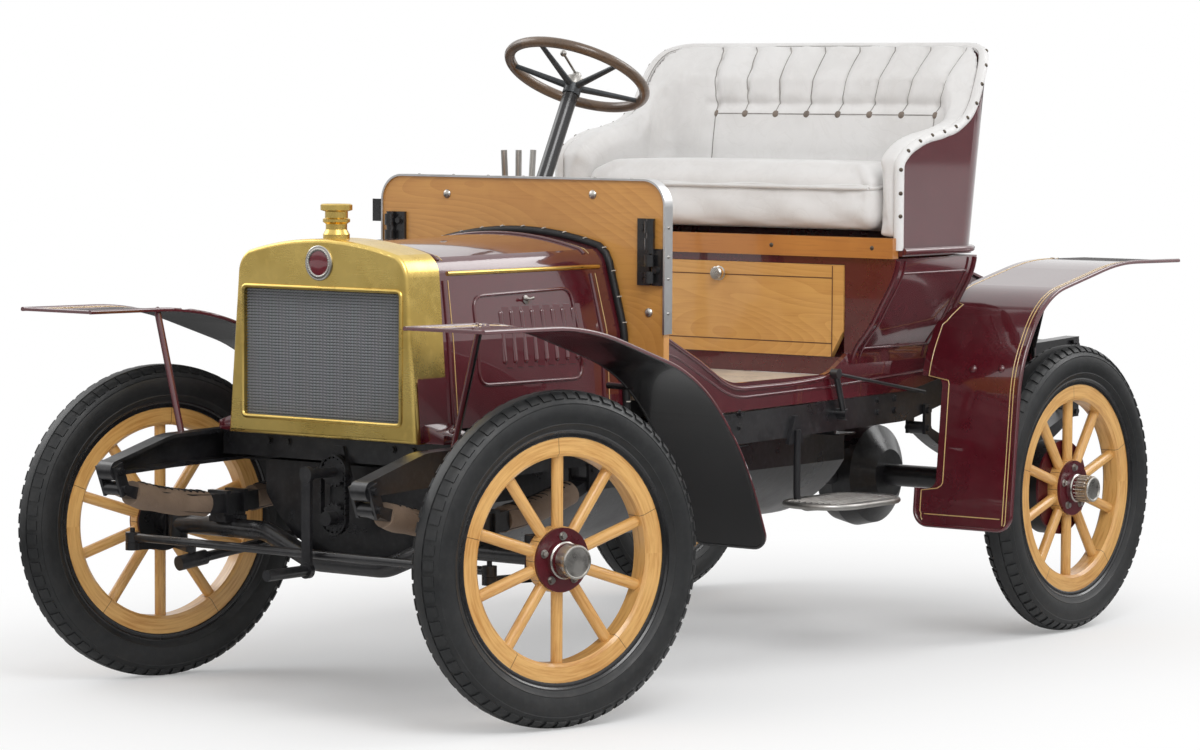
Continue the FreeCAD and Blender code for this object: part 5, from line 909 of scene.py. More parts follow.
class CAR_OT_tyres(bpy.types.Operator):
    """Mould the four tyres with their ribbed shoulders"""

    bl_idname = "car.tyres"
    bl_label = "Tyres"

    def execute(self, context):
        size = context.scene.car_sizes
        steps, rise = 3 * size.lug_count, size.lug_height
        for wheel, (body, _) in WHEELS.items():
            bm = bmesh.new()
            lathe(bm, mirrored(TYRE_HALF), steps, Matrix.Identity(4))
            ribs = []
            for face in bm.faces:
                middle = face.calc_center_median()
                step = int((math.atan2(middle.y, middle.x) % (2 * math.pi)) / (2 * math.pi) * steps)
                shoulder = 0.0185 < abs(middle.z) < 0.0385 and middle.xy.length > 0.35
                if shoulder and (step + (0 if middle.z > 0 else 1)) % 3:
                    ribs.append(face)
            for vert in new_verts(bmesh.ops.extrude_face_region(bm, geom=ribs)):
                out = Vector((vert.co.x, vert.co.y, 0)).normalized()
                vert.co += out * rise + Vector((0, 0, math.copysign(rise * 0.6, vert.co.z)))
            bmesh.ops.transform(bm, matrix=wheel_frame(wheel) @ ON_EDGE, verts=bm.verts)
            piece = finish_mesh("ribbed_tyre_" + wheel, bm, "rubber", body, angle=32)
            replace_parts(piece, "tyre_" + wheel)
        return {"FINISHED"}


class CAR_OT_wheel_fittings(bpy.types.Operator):
    """Add steel rims, hub bolts, cap rings and valves to the wheels"""

    bl_idname = "car.wheel_fittings"
    bl_label = "Wheel fittings"

    def execute(self, context):
        bolt_count, bolt_circle, bolt_seat = 5, 0.054, 0.0218
        for wheel, (body, _) in WHEELS.items():
            front = wheel.startswith("front")
            reach, cap, ribs = (0.0760, 0.0385, 0) if front else (0.0820, 0.0335, 22)
            place = wheel_frame(wheel)
            stand = place @ ON_EDGE
            out = (place.to_3x3() @ Vector((0, 1, 0))).normalized()
            bm = bmesh.new()
            lathe(bm, mirrored(RIM_HALF), 96, stand)
            finish_mesh("steel_rim_" + wheel, bm, "gloss_black", body)
            bolts = []
            for i in range(bolt_count):
                turn = 2 * math.pi * (i + 0.25) / bolt_count
                across, up = math.cos(turn) * bolt_circle, math.sin(turn) * bolt_circle
                bolts.append((place @ Vector((across, bolt_seat, up)), out))
            hex_heads("hub_bolts_" + wheel, bolts, 0.0075, 0.0085, "worn_steel", body)
            bm = bmesh.new()
            lathe(bm, [(cap + r, reach + h) for r, h in CAP_LIP], 64, stand)
            lathe(bm, [(cap + r, h) for r, h in CAP_FOOT], 64, stand)
            for i in range(ribs):
                spot = heading(2 * math.pi * i / ribs, "XZ") * (cap + 0.0003)
                ends = [place @ (spot + Vector((0, y, 0))) for y in (0.040, reach - 0.010)]
                bar(bm, *ends, 0.0019, 8)
            finish_mesh("hub_cap_rings_" + wheel, bm, "nickel", body)
            way = Vector((-0.57, 0, -0.82)).normalized()
            bm = bmesh.new()
            bar(bm, place @ (way * 0.236), place @ (way * 0.198), 0.0045, 12)
            bar(bm, place @ (way * 0.206), place @ (way * 0.186), 0.0062, 12)
            finish_mesh("valve_" + wheel, bm, "gloss_black", body)
        return {"FINISHED"}


class CAR_OT_radiator(bpy.types.Operator):
    """Dress the radiator with its rolled lip, folded core, bare badge and painted aprons"""

    bl_idname = "car.radiator"
    bl_label = "Radiator"

    def execute(self, context):
        lo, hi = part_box("radiator_core")
        shell_lo, shell_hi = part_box("radiator_shell")
        face = shell_hi[0]
        half, low, high, corner = 0.2405, lo[2] + 0.0005, hi[2] - 0.0005, 0.012
        level = (low + high) / 2
        loop, corners = [], ((half, high, 0), (-half, high, 90), (-half, low, 180), (half, low, 270))
        for y, z, start in corners:
            inset = Vector((0, -math.copysign(corner, y), -math.copysign(corner, z - level)))
            centre = Vector((face - 0.001, y, z)) + inset
            loop += [centre + heading(turn, "YZ") * corner for turn in fan(start, start + 90, 4)]
        tubes("core_lip", [loop], 0.0055, "brass", cyclic=True)
        self.core(context.scene.car_sizes, hi[0] - 0.001, half, low, high)
        self.badge(along((1, 0, 0), (face, -0.004, 1.0265)))
        self.feet(face - 0.075, shell_lo[2] + 0.026)
        skin = surface_of("radiator_shell")
        back_x, front_x = shell_lo[0] + 0.002, face - 0.016
        for side, label in ((1, "left"), (-1, "right")):
            bm = bmesh.new()
            gone = []
            for vert in bmesh.ops.create_grid(bm, x_segments=10, y_segments=10, size=0.5)["verts"]:
                x = back_x + (vert.co.x + 0.5) * (front_x - back_x)
                z = shell_lo[2] + 0.003 + (vert.co.y + 0.5) * 0.145
                hits = trace(skin, [(x, side * 0.6, z)], (0, -side, 0), 0.0016)
                if hits:
                    vert.co = hits[0]
                else:
                    gone.append(vert)
            bmesh.ops.delete(bm, geom=gone, context="VERTS")
            thicken(finish_mesh("radiator_apron_" + label, bm, "burgundy"), 0.0012)
        return {"FINISHED"}

    def core(self, size, front, half, low, high):
        """Rows of folded fins in front of a near-black block of painted shade for the core's depth,
        with near-black bars between the rows.
        """
        rows, depth = size.core_rows, 0.009
        pitch = (high - low) / rows
        run = int(2 * half / size.fin_pitch)
        bm = bmesh.new()
        for row in range(rows):
            z = low + pitch * (row + 0.5)
            line = []
            for i in range(run + 1):
                fold = pitch * 0.36 if i % 2 else -pitch * 0.36
                line.append(bm.verts.new((front, -half + i * 2 * half / run, z + fold)))
            edges = [bm.edges.new(pair) for pair in zip(line, line[1:])]
            moved = new_verts(bmesh.ops.extrude_edge_only(bm, edges=edges))
            bmesh.ops.translate(bm, verts=moved, vec=(-depth, 0, 0))
        thicken(finish_mesh("core_fins", bm, "fin_metal", smooth=False), 0.0018)
        # Bars and block in near-black: painted shade of the core's depth
        bm = bmesh.new()
        for row in range(rows + 1):
            z = low + pitch * row
            bar(bm, (front - 0.003, -half, z), (front - 0.003, half, z), 0.0009, 6)
        block(bm, (front - depth - 0.02, 0, (low + high) / 2), (0.04, 2 * half, high - low))
        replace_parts(finish_mesh("core_block", bm, "core_black", angle=30), "radiator_core")

    def badge(self, stand):
        """A beaded ring round a plain enamel."""
        bm = bmesh.new()
        lathe(bm, BADGE_RING, 72, stand)
        for i in range(36):
            turn = 2 * math.pi * i / 36
            spot = Vector((math.cos(turn) * 0.0318, math.sin(turn) * 0.0318, 0.0042))
            ball(bm, stand @ spot, 0.0015, 8, 5)
        finish_mesh("badge_ring", bm, "nickel")
        bm = bmesh.new()
        lathe(bm, BADGE_FACE, 64, stand)
        finish_mesh("badge_enamel", bm, "enamel")

    def feet(self, x, level):
        """The shell's two bolted feet, lower on their outer sides."""
        bm = bmesh.new()
        for side in SIDES:
            for vert in block(bm, (x, side * 0.303, level), (0.090, 0.080, 0.050)):
                if abs(vert.co.y) > 0.31 and vert.co.z > level:
                    vert.co.z -= 0.028
            lathe(bm, FOOT_NUT, 6, along(UP, (x, side * 0.330, level + 0.002)))
        edge = {"offset": 0.002, "segments": 2, "profile": 0.5, "affect": "EDGES", "material": -1}
        bmesh.ops.bevel(bm, geom=bm.edges, **edge)
        finish_mesh("radiator_feet", bm, "burgundy", angle=35)


class CAR_OT_bonnet(bpy.types.Operator):
    """Add hinge strips, raised panels, latches, beads, lining and the laced welt to the bonnet"""

    bl_idname = "car.bonnet"
    bl_label = "Bonnet"

    def execute(self, context):
        far = 0.6
        bands = ((-0.030, "beads"), (-0.046, "lines"), (-0.556, "beads"), (-0.574, "lines"))
        lifts = {"beads": PROUD, "lines": FLUSH}
        below = {"beads": [], "lines": []}
        above = {"beads": [], "lines": []}
        sides = surface_of("bonnet_sides")
        cover = surface_of("bonnet_lid", "bonnet_sides")
        strips, panels, latches = [], [], []
        hoods = bmesh.new()
        for side in SIDES:
            way = (0, -side, 0)
            ends = ((-0.046, 0.2512), (-0.592, 0.2743))
            strips.append([Vector((FRONT_X + x, side * y, 1.005)) for x, y in ends])
            for i in range(8):
                x = FRONT_X - 0.215 - i * 0.036
                ends = trace(sides, [(x, side * far, z) for z in (0.797, 0.907)], way, -0.003)
                bar(hoods, *ends, 0.0085, 16)
                for end in ends:
                    ball(hoods, end, 0.00855, 16)
            corners = [(-0.126, 0.950), (-0.470, 0.958), (-0.480, 0.745), (-0.126, 0.745)]
            corners = [Vector((FRONT_X + x, side * far, z)) for x, z in corners]
            start = corners[3].lerp(corners[0], 0.5)
            loop = bent([start] + corners + [start], 0.030)
            panels.append(trace(sides, evenly(loop, 0.008), way, 0.0012))
            for x, kind in bands:
                column = [(FRONT_X + x, side * far, 0.66 + i * 0.0122) for i in range(28)]
                below[kind].append(trace(sides, column, way, lifts[kind]))
            latches += lay_on(sides, [(FRONT_X - 0.308, side * far, 0.936)], way)
        for x, kind in bands:
            half = 0.236 if x > -0.1 else 0.258
            row = [(FRONT_X + x, -half + i * half / 20, 1.4) for i in range(41)]
            above[kind].append(trace(cover, row, -UP, lifts[kind]))
        finish_mesh("louvre_hoods", hoods, "burgundy")
        tubes("hinge_strip_left", strips[:1], 0.0056, "brass")
        tubes("hinge_strip_right", strips[1:], 0.0056, "brass", "bonnet_lid")
        tubes("panel_beads", panels, 0.0038, "burgundy", cyclic=True)
        for part, body, found in (("bonnet", "chassis", below), ("lid", "bonnet_lid", above)):
            tubes(part + "_beads", found["beads"], 0.0042, "burgundy", body)
            tubes(part + "_lines", found["lines"], 0.0013, "pinstripe", body)
        bm = bmesh.new()
        for spot, out in latches:
            lathe(bm, LATCH_POST, 24, along(out, spot))
            grip = spot + out * 0.010
            for way in SIDES:
                bar(bm, grip, grip + Vector((way * 0.015, 0, 0.002)), 0.0030)
                ball(bm, grip + Vector((way * 0.016, 0, 0.002)), 0.0042)
        finish_mesh("bonnet_latches", bm, "worn_steel")
        self.welt(cover)
        return {"FINISHED"}

    def welt(self, cover):
        """A laced leather welt between bonnet and dash."""
        x = FRONT_X - 0.6285
        middle = Vector((x + 0.006, 0, 0.86))
        arch = []
        for turn in fan(-32, 212, 60):
            far = middle + heading(turn, "YZ") * 0.9
            arch += trace(cover, [far], middle - far, 0.0065)
        arch = [Vector((x, p.y, p.z)) for p in arch]
        tubes("lacing_welt", [arch], 0.0095, "black_leather", sides=4)
        stitches = []
        for spot in evenly(arch, 0.062):
            out = (spot - Vector((x, 0, 0.86))).normalized()
            foot, crown = spot + out * 0.0088, spot + out * 0.0108
            stitches.append([foot + AHEAD * 0.010, crown, foot - AHEAD * 0.006])
        tubes("lacing", stitches, 0.0014, "pale_thread")


class CAR_OT_dash(bpy.types.Operator):
    """Add bolts, edge screws and hinge fittings to the dash"""

    bl_idname = "car.dash"
    bl_label = "Dash fittings"

    def execute(self, context):
        lo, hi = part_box("dash_board")
        front = hi[0]
        spots = [(-0.231, 1.169), (0.222, 1.176), (0.392, 0.897), (-0.392, 0.897)]
        spots += [(0.150, 0.800), (-0.150, 0.800)]
        places = [(Vector((front, y, z)), AHEAD) for y, z in spots]
        round_heads("dash_bolts", places, 0.0115, "nickel", 0.55, 8)
        trim, plates = surface_of("dash_trim"), surface_of("dash_brackets")
        low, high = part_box("dash_brackets")
        screws, bolts, knuckles = [], [], []
        middle = front - 0.011
        for side in SIDES:
            rays = [(middle, side * 0.6, z) for z in (1.100, 1.030, 0.978, 0.895)]
            screws += lay_on(trim, rays, (0, -side, 0))
            holes = ((0.379, 1.100), (0.379, 0.985), (0.418, 1.085), (0.418, 0.998))
            bolts += lay_on(plates, [(front + 0.3, side * y, z) for y, z in holes], -AHEAD)
            for i in range(4):
                z = low[2] + 0.020 + i * (high[2] - low[2] - 0.04) / 3
                ends = (z - 0.014, z + 0.014)
                knuckles.append([Vector((high[0] - 0.006, side * 0.4035, z)) for z in ends])
        rays = [(middle, y, 1.5) for y in (-0.33, -0.22, -0.11, 0.0, 0.11, 0.22, 0.33)]
        screws += lay_on(trim, rays, -UP)
        round_heads("edge_screws", screws, 0.0042, "worn_steel", 0.5)
        bm = bmesh.new()
        edge = lo[1] - 0.004
        block(bm, (front - 0.006, edge - 0.024, 1.124), (0.005, 0.024, 0.056))
        block(bm, (front - 0.006, edge - 0.004, 1.124), (0.004, 0.026, 0.018))
        finish_mesh("far_bracket", bm, "gloss_black", angle=30)
        hex_heads("bracket_bolts", bolts, 0.0085, 0.008, "gloss_black")
        tubes("bracket_knuckles", knuckles, 0.0128, "gloss_black", sides=5)
        return {"FINISHED"}


def stuffed(name, source, voxel, pressure, cap, held):
    """A closed shape swollen by cloth simulation; held points stay still, others move by a cap."""
    scene, last = bpy.context.scene, 20
    piece = bpy.data.objects.new(name, source)
    scene.collection.objects.link(piece)
    bpy.context.view_layer.objects.active = piece
    for other in bpy.context.selected_objects:
        other.select_set(False)
    piece.select_set(True)
    remesh = piece.modifiers.new("Remesh", "REMESH")
    remesh.mode = "VOXEL"
    remesh.voxel_size = voxel
    bpy.ops.object.modifier_apply(modifier="Remesh")
    start = [v.co.copy() for v in piece.data.vertices]
    cloth = piece.modifiers.new("Cloth", "CLOTH")
    made = cloth.settings
    made.use_pressure = True
    made.uniform_pressure_force = pressure
    made.effector_weights.gravity = 0.0
    made.quality = 5
    made.mass = 0.3
    made.tension_stiffness = made.compression_stiffness = 14
    made.shear_stiffness = 6
    made.bending_stiffness = 0.6
    group = piece.vertex_groups.new(name="held")
    for vert in piece.data.vertices:
        if held(vert.co):
            group.add([vert.index], 1.0, "REPLACE")
    made.vertex_group_mass = "held"
    cloth.point_cache.frame_start = 1
    cloth.point_cache.frame_end = last
    for moment in range(1, last + 1):
        scene.frame_set(moment)
    bpy.ops.object.modifier_apply(modifier="Cloth")
    scene.frame_set(1)
    for vert, rest in zip(piece.data.vertices, start):
        push = vert.co - rest
        if push.length > cap:
            vert.co = rest + push.normalized() * cap
    piece.vertex_groups.clear()
    return piece


def relax(bm, verts, factor=0.5):
    axes = {"use_axis_x": True, "use_axis_y": True, "use_axis_z": True}
    bmesh.ops.smooth_vert(bm, verts=verts, factor=factor, **axes)


def smoothed(mesh, times):
    """A simulated mesh freed of its small bumps."""
    bm = bmesh.new()
    bm.from_mesh(mesh)
    for _ in range(times):
        relax(bm, bm.verts)
    bmesh.ops.recalc_face_normals(bm, faces=bm.faces)
    for face in bm.faces:
        face.smooth = True
    bm.to_mesh(mesh)
    bm.free()


def upholster(piece, node):
    """The records of a soft piece that stands for a CAD node; its surface is returned."""
    dress(piece, "white_leather", "chassis")
    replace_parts(piece, node)
    return surface_of(piece.name)


class CAR_OT_cushion(bpy.types.Operator):
    """Stuff and cover the bench cushion"""

    bl_idname = "car.cushion"
    bl_label = "Bench cushion"

    def execute(self, context):
        lo, hi = (Vector(c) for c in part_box("seat_cushion"))
        size, middle = hi - lo, (lo + hi) / 2
        bm = bmesh.new()
        block(bm, middle, (size.x - 2 * 0.014, size.y - 2 * 0.014, size.z - 2 * 0.016))
        edge = {"offset": 0.030, "segments": 4, "profile": 0.5, "affect": "EDGES", "material": -1}
        bmesh.ops.bevel(bm, geom=list(bm.edges), **edge)
        bmesh.ops.recalc_face_normals(bm, faces=bm.faces)
        floor_z = lo.z + 0.022
        mesh = to_mesh("bench_cushion", bm)
        piece = stuffed("bench_cushion", mesh, 0.0085, 3.6, 0.020, lambda p: p.z < floor_z)
        mesh = piece.data
        smoothed(mesh, 2)
        seam_z, rim = hi.z - 0.052, 0.86
        for p in (vert.co for vert in mesh.vertices):
            front = (p.x - middle.x) / (size.x / 2)
            side = (p.y - middle.y) / (size.y / 2)
            rise = max(0.0, min(1.0, (p.z - lo.z) / size.z))
            crown = max(0.0, 1 - abs(front) ** 2.6) * max(0.0, 1 - abs(side) ** 4.0)
            if rise > 0.6:
                p.z += 0.010 * crown
                wave = math.sin(p.y * 23.0 + 2.0 * math.sin(p.y * 7.0))
                p.z += 0.0035 * wave * max(0.0, front) * rise
            near = (p.z - seam_z - 0.003 * math.sin(p.y * 21.0)) / 0.009
            if max(abs(front), abs(side)) > rim:
                dent = 0.0055 * math.exp(-near * near)
                p.x -= math.copysign(dent, front) if abs(front) > rim else 0
                p.y -= math.copysign(dent, side) if abs(side) > 0.93 else 0
                if front > rim and p.z < seam_z:
                    drop = min(1.0, (seam_z - p.z) / 0.05)
                    p.x += 0.0026 * math.sin(p.y * 31.0 + p.z * 40.0) * drop
        mesh.update()
        skin = upholster(piece, "seat_cushion")
        lines = []
        for (x0, y0), way, reach in (
            ((hi.x + 0.05, middle.y), (-1, 0, 0), size.y),
            ((middle.x, hi.y + 0.05), (0, -1, 0), size.x),
            ((middle.x, lo.y - 0.05), (0, 1, 0), size.x),
        ):
            row = []
            for i in range(81):
                slide = (i / 80 - 0.5) * (reach - 0.035)
                x, y = (x0, y0 + slide) if way[0] else (x0 + slide, y0)
                row.append((x, y, seam_z + 0.003 * math.sin((y if way[0] else x) * 21.0)))
            lines.append(trace(skin, row, way, 0.0012))
        tubes("cushion_piping", lines, 0.0048, "white_leather")
        return {"FINISHED"}


class CAR_OT_seat_back(bpy.types.Operator):
    """Upholster the seat's back and arms with pleats, buttons, and thin grey lines of painted shade
    along the creases
    """

    bl_idname = "car.seat_back"
    bl_label = "Back upholstery"

    def execute(self, context):
        bm = bmesh.new()
        bm.from_mesh(bpy.data.objects["seat_back"].data)
        bmesh.ops.remove_doubles(bm, verts=bm.verts, dist=1e-5)
        bmesh.ops.recalc_face_normals(bm, faces=bm.faces)
        wall = surface_of("seat_shell")
        mesh = to_mesh("seat_upholstery", bm)
        piece = stuffed(
            "seat_upholstery", mesh, 0.0080, 2.4, 0.014, lambda p: wall.find_nearest(p)[3] < 0.016
        )
        mesh = piece.data
        smoothed(mesh, 1)
        first, last, count = -0.300, 0.405, context.scene.car_sizes.button_count
        places = [first + (last - first) * i / (count - 1) for i in range(count)]
        seam_z = 1.392
        self.pleat(mesh, places, seam_z)
        skin = upholster(piece, "seat_back")
        ahead, way = FRONT_X - 1.55, (-1, 0, -0.08)
        buttons = lay_on(skin, [(ahead, y, seam_z) for y in places], way, -0.001)
        round_heads("seat_buttons", buttons, 0.0100, "button_cloth", 0.5, 8)
        # Thin grey lines of painted shade: along the buttons' row, beside the plain panel and up
        # each pleat
        row = [(ahead, places[0] + (places[-1] - places[0]) * i / 120, seam_z) for i in range(121)]
        crease_shade_lines = [trace(skin, row, way, FLUSH)]
        for y in (places[0], places[-1]):
            column = [(ahead, y, 1.17 + (seam_z - 1.17) * i / 40) for i in range(41)]
            crease_shade_lines.append(trace(skin, column, way, FLUSH))
        for y in places:
            rise = []
            for up in (0.20 * i / 60 for i in range(61)):
                lean = (y - 0.05) * 0.10 * up / 0.16 + 0.006 * up / 0.16
                rise.append((ahead, y + lean, seam_z + up))
            crease_shade_lines.append([hit for hit, out in lay_on(skin, rise, way, 0.0002) if out.x > 0.35])
        tubes("back_crease_shade", crease_shade_lines, 0.0013, "crease_grey")
        return {"FINISHED"}

    def pleat(self, mesh, places, seam_z):
        """Flutes above the buttons' seam, grooves beside the plain panel, dimples at the buttons."""
        count, pitch = len(places), places[1] - places[0]
        bm = bmesh.new()
        bm.from_mesh(mesh)
        bm.normal_update()
        moves = []
        for vert in bm.verts:
            p, n = vert.co, vert.normal
            if n.x < 0.25 or p.x > FRONT_X - 1.70 or abs(p.y) > 0.52:
                continue
            depth, above = 0.0, p.z - seam_z
            if places[0] - 0.03 < p.y < places[-1] + 0.03:
                depth += 0.0075 * math.exp(-((above / 0.012) ** 2))
            if above > 0:
                grow = min(1.0, above / 0.03)
                spread_out = 1 + 0.10 * above / 0.16
                fold = ((p.y - 0.0375 * above - 0.05) / spread_out + 0.05 - places[0]) / pitch
                inside = min(1.0, max(0.0, 1 - max(-fold, fold - (count - 1)) / 0.5))
                flute = 1 - math.sqrt(abs(math.sin(math.pi * fold)))
                depth += 0.0230 * flute * (0.5 + 0.5 * grow) * inside
                depth -= 0.0050 * (1 - flute) * grow * inside
            else:
                for y in (places[0], places[-1]):
                    depth += 0.0080 * math.exp(-abs(p.y - y) / 0.010)
                depth += 0.0020 * math.exp(-(((p.z - 1.255) / 0.02) ** 2))
            for y in places:
                depth += 0.0085 * math.exp(-((math.hypot(p.y - y, above) / 0.016) ** 2))
            moves.append((vert, -n * depth))
        for vert, push in moves:
            vert.co += push
        relax(bm, [v for v, _ in moves], 0.3)
        bm.to_mesh(mesh)
        bm.free()


def seat_rim(shell):
    """The upper edge of the seat's wall from one arm's front round the back to the other's."""
    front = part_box("seat_shell")[1][0]
    width, arm = 0.0075, 0.12

    def edge(far, way, least):
        """The wall's edge below the height where rays from far first meet it."""
        z = 1.56
        while z > 0.98:
            hit = shell.ray_cast(far + Vector((0, 0, z)), way)[0]
            if hit is not None and (hit - BENCH_MIDDLE).dot(-way) > least:
                return Vector((hit.x, hit.y, z)) + way * width
            z -= 0.003

    ends = []
    for side in SIDES:
        starts = [Vector((front - 0.0015 - 0.006 * i, side * 0.9, 0)) for i in range(20)]
        ends.append([edge(start, Vector((0, -side, 0)), 0.3) for start in starts])
    back = []
    for turn in fan(77.5, 282.5, 92):
        back.append(edge(BENCH_MIDDLE + heading(turn) * 0.9, -heading(turn), 0.1))
    back = [p for p in back if p is not None and p.x < front - arm]
    return [p for p in ends[0] if p] + back + [p for p in reversed(ends[1]) if p]


def outward(spot):
    """Level direction from the seat's middle: straight out on the arms, radial round the back."""
    if spot.x > FRONT_X - 1.80:
        return Vector((0, math.copysign(1, spot.y), 0))
    return Vector((spot.x - BENCH_MIDDLE.x, spot.y, 0)).normalized()


class CAR_OT_seat_trim(bpy.types.Operator):
    """Bind the seat's edge in leather and set its nails, base moulding and screws"""

    bl_idname = "car.seat_trim"
    bl_label = "Edge trim"

    def execute(self, context):
        shell = surface_of("seat_shell")
        rim = seat_rim(shell)
        lo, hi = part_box("seat_shell")
        feet = []
        for point, side in ((rim[0], 1), (rim[-1], -1)):
            start = Vector((hi[0] - 0.003, side * 0.9, lo[2] + 0.03))
            hit = shell.ray_cast(start, Vector((0, -side, 0)))[0]
            feet.append(Vector((point.x, hit.y - side * 0.0075, lo[2] + 0.008)))
        line = evenly([feet[0]] + rim + [feet[1]], 0.014)
        tubes("edge_binding", [line], 0.0128, "white_leather", kind="NURBS", sides=5)
        nails, sunk = [], 0.0122
        spots = evenly(line, 0.058)
        for before, spot, after in zip(spots, spots[1:], spots[2:]):
            out = outward(spot)
            over = (after - before).cross(out).normalized()
            over = -over if over.x + over.z < 0 else over
            way = (out * 0.8 + over * 0.6).normalized()
            nails.append((spot + way * sunk, way))
        round_heads("binding_nails", nails, 0.0055, "dark_nail")
        # A thin grey line of painted shade in the crease along the binding's inner side
        inner = [p - outward(p) * sunk + UP * 0.0035 for p in evenly(line, 0.012)]
        tubes("binding_crease_shade", [inner], 0.0012, "crease_grey", kind="NURBS")
        base, level = [], Vector((0, 0, lo[2] + 0.012))
        for turn in fan(78, 282, 80):
            far = BENCH_MIDDLE + heading(turn) * 0.95 + level
            base += trace(shell, [far], BENCH_MIDDLE + level - far, 0.001)
        tubes("seat_base_moulding", [base], 0.0085, "burgundy", sides=4)
        rail_lo, rail_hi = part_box("seat_rail")
        z = (rail_lo[2] + rail_hi[2]) / 2
        screws = [(Vector((rail_hi[0], y, z)), AHEAD) for y in (-0.48, -0.17, 0.17, 0.48)]
        round_heads("rail_screws", screws, 0.0060, "dark_nail", 0.4)
        return {"FINISHED"}


class CAR_OT_fender_trim(bpy.types.Operator):
    """Draw the fenders' lining and set their bolts"""

    bl_idname = "car.fender_trim"
    bl_label = "Fender lining"

    def execute(self, context):
        lines, bolts, rivets = [], [], []
        lift, out = 0.0004, 1.3
        for end, x0, span in (("front", FRONT_X, (56, 181)), ("rear", REAR_X, (-8, 121))):
            skin = surface_of(end + "_fenders")
            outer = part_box(end + "_fenders")[1][1] - 0.020
            ways = [heading(turn, "XZ") for turn in fan(*span, 130)]
            for side in SIDES:
                for y in (outer, 0.490) if end == "front" else (outer, outer - 0.009):
                    centre, row = Vector((x0, side * y, AXLE_Z)), []
                    for way in ways:
                        row += trace(skin, [centre + way * out], -way, lift)
                    lines.append(row)
                if end == "front":
                    for x in (0.135, 0.118):
                        spots = [(x0 + x, side * y, 1.5) for y in (0.486, 0.503)]
                        rivets += lay_on(skin, spots, -UP)
                    continue
                row = []
                for way in ways:
                    for k in range(50):
                        centre = Vector((x0, side * (0.40 + 0.004 * k), AXLE_Z))
                        if skin.ray_cast(centre + way * out, -way)[0] is not None:
                            centre.y += side * 0.020
                            row += trace(skin, [centre + way * out], -way, lift)
                            break
                lines.append(row)
                behind = x0 + 1.2
                spots = [(behind, side * y, z) for y, z in ((0.606, 0.714), (0.690, 0.718))]
                bolts += lay_on(skin, spots, -AHEAD)
                foot = [(behind, side * (0.49 + 0.012 * i), 0.334) for i in range(20)]
                lines.append(trace(skin, foot, -AHEAD, lift))
        tubes("fender_lines", lines, 0.0014, "pinstripe")
        round_heads("fender_bolts", bolts, 0.0105, "burgundy", 0.6, 8)
        round_heads("stay_rivets", rivets, 0.0052, "burgundy")
        return {"FINISHED"}


class CAR_OT_body_trim(bpy.types.Operator):
    """Add the body's beads and lining, and the locker's knob and frame"""

    bl_idname = "car.body_trim"
    bl_label = "Body trim"

    def execute(self, context):
        skin = surface_of("body_tub")
        far, lifts = 0.8, {"beads": 0.001, "lines": FLUSH}
        found = {"beads": [], "lines": []}
        sill = [(-0.668, 0.838), (-0.722, 0.826), (-0.965, 0.694), (-1.227, 0.694)]
        sill += [(-1.364, 0.700), (-1.450, 0.716)]
        low = [(-0.668, 0.800), (-0.730, 0.788), (-0.975, 0.672), (-1.400, 0.678), (-1.900, 0.700)]
        posts = ((-1.497, "beads"), (-1.862, "beads"), (-1.530, "lines"), (-1.830, "lines"))
        for side in SIDES:
            way = (0, -side, 0)
            for profile, kind in ((sill, "beads"), (low, "lines")):
                path = bent([Vector((FRONT_X + x, side * far, z)) for x, z in profile], 0.06, 8)
                found[kind].append(trace(skin, evenly(path, 0.012), way, lifts[kind]))
            for x, kind in posts:
                column = [(FRONT_X + x, side * far, 0.735 + i * 0.0088) for i in range(31)]
                found[kind].append(trace(skin, column, way, lifts[kind]))
            for z in (0.965, 0.770):
                row = [(FRONT_X - 1.53 - i * 0.010, side * far, z) for i in range(31)]
                found["lines"].append(trace(skin, row, way, FLUSH))
        for kind, radius, sides in (("beads", 0.0058, 4), ("lines", 0.0030, 3)):
            kept = [line for line in found[kind] if len(line) > 3]
            tubes("body_" + kind, kept, radius, "burgundy", sides=sides)
        self.locker()
        return {"FINISHED"}

    def locker(self):
        """Frame grooves, drawn as dark lines of painted shade, and a turned knob on the locker's
        flap.
        """
        lo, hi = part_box("locker_flap")
        flap, points = surface_of("locker_flap"), bpy.data.objects["locker_flap"].data.vertices
        front = trace(flap, [(hi[0] + 0.2, 0.25, (lo[2] + hi[2]) / 2)], -AHEAD)[0].x
        left, right, bottom, top = lo[1] + 0.034, hi[1] - 0.034, lo[2] + 0.034, hi[2] - 0.034
        ends = [(left, top), (right, top)], [(right, bottom), (left, bottom)]
        ends += tuple([(y, lo[2] + 0.003), (y, hi[2] - 0.003)] for y in (left, right))
        grooves = [[Vector((front + 0.0002, y, z)) for y, z in pair] for pair in ends]
        # Painted shade: thin dark brown lines lie where the frame's grooves would be in shadow
        tubes("locker_groove", grooves, 0.0013, "dark_wood", "locker_flap")
        tip = max(v.co.x for v in points) - 0.001
        knob = [v.co for v in points if v.co.x > tip]
        centre = sum(knob, Vector()) / len(knob)
        reach = centre.x - front
        outline = [
            (0.0, -0.001), (0.0185, -0.001), (0.0190, 0.002), (0.0150, 0.004), (0.0075, 0.006),
            (0.0075, reach * 0.5), (0.0172, reach * 0.62), (0.0180, reach * 0.9),
            (0.0150, reach + 0.001), (0.0, reach + 0.002),
        ]
        bm = bmesh.new()
        lathe(bm, outline, 40, along(AHEAD, (front, centre.y, centre.z)))
        finish_mesh("locker_knob", bm, "nickel", "locker_flap")


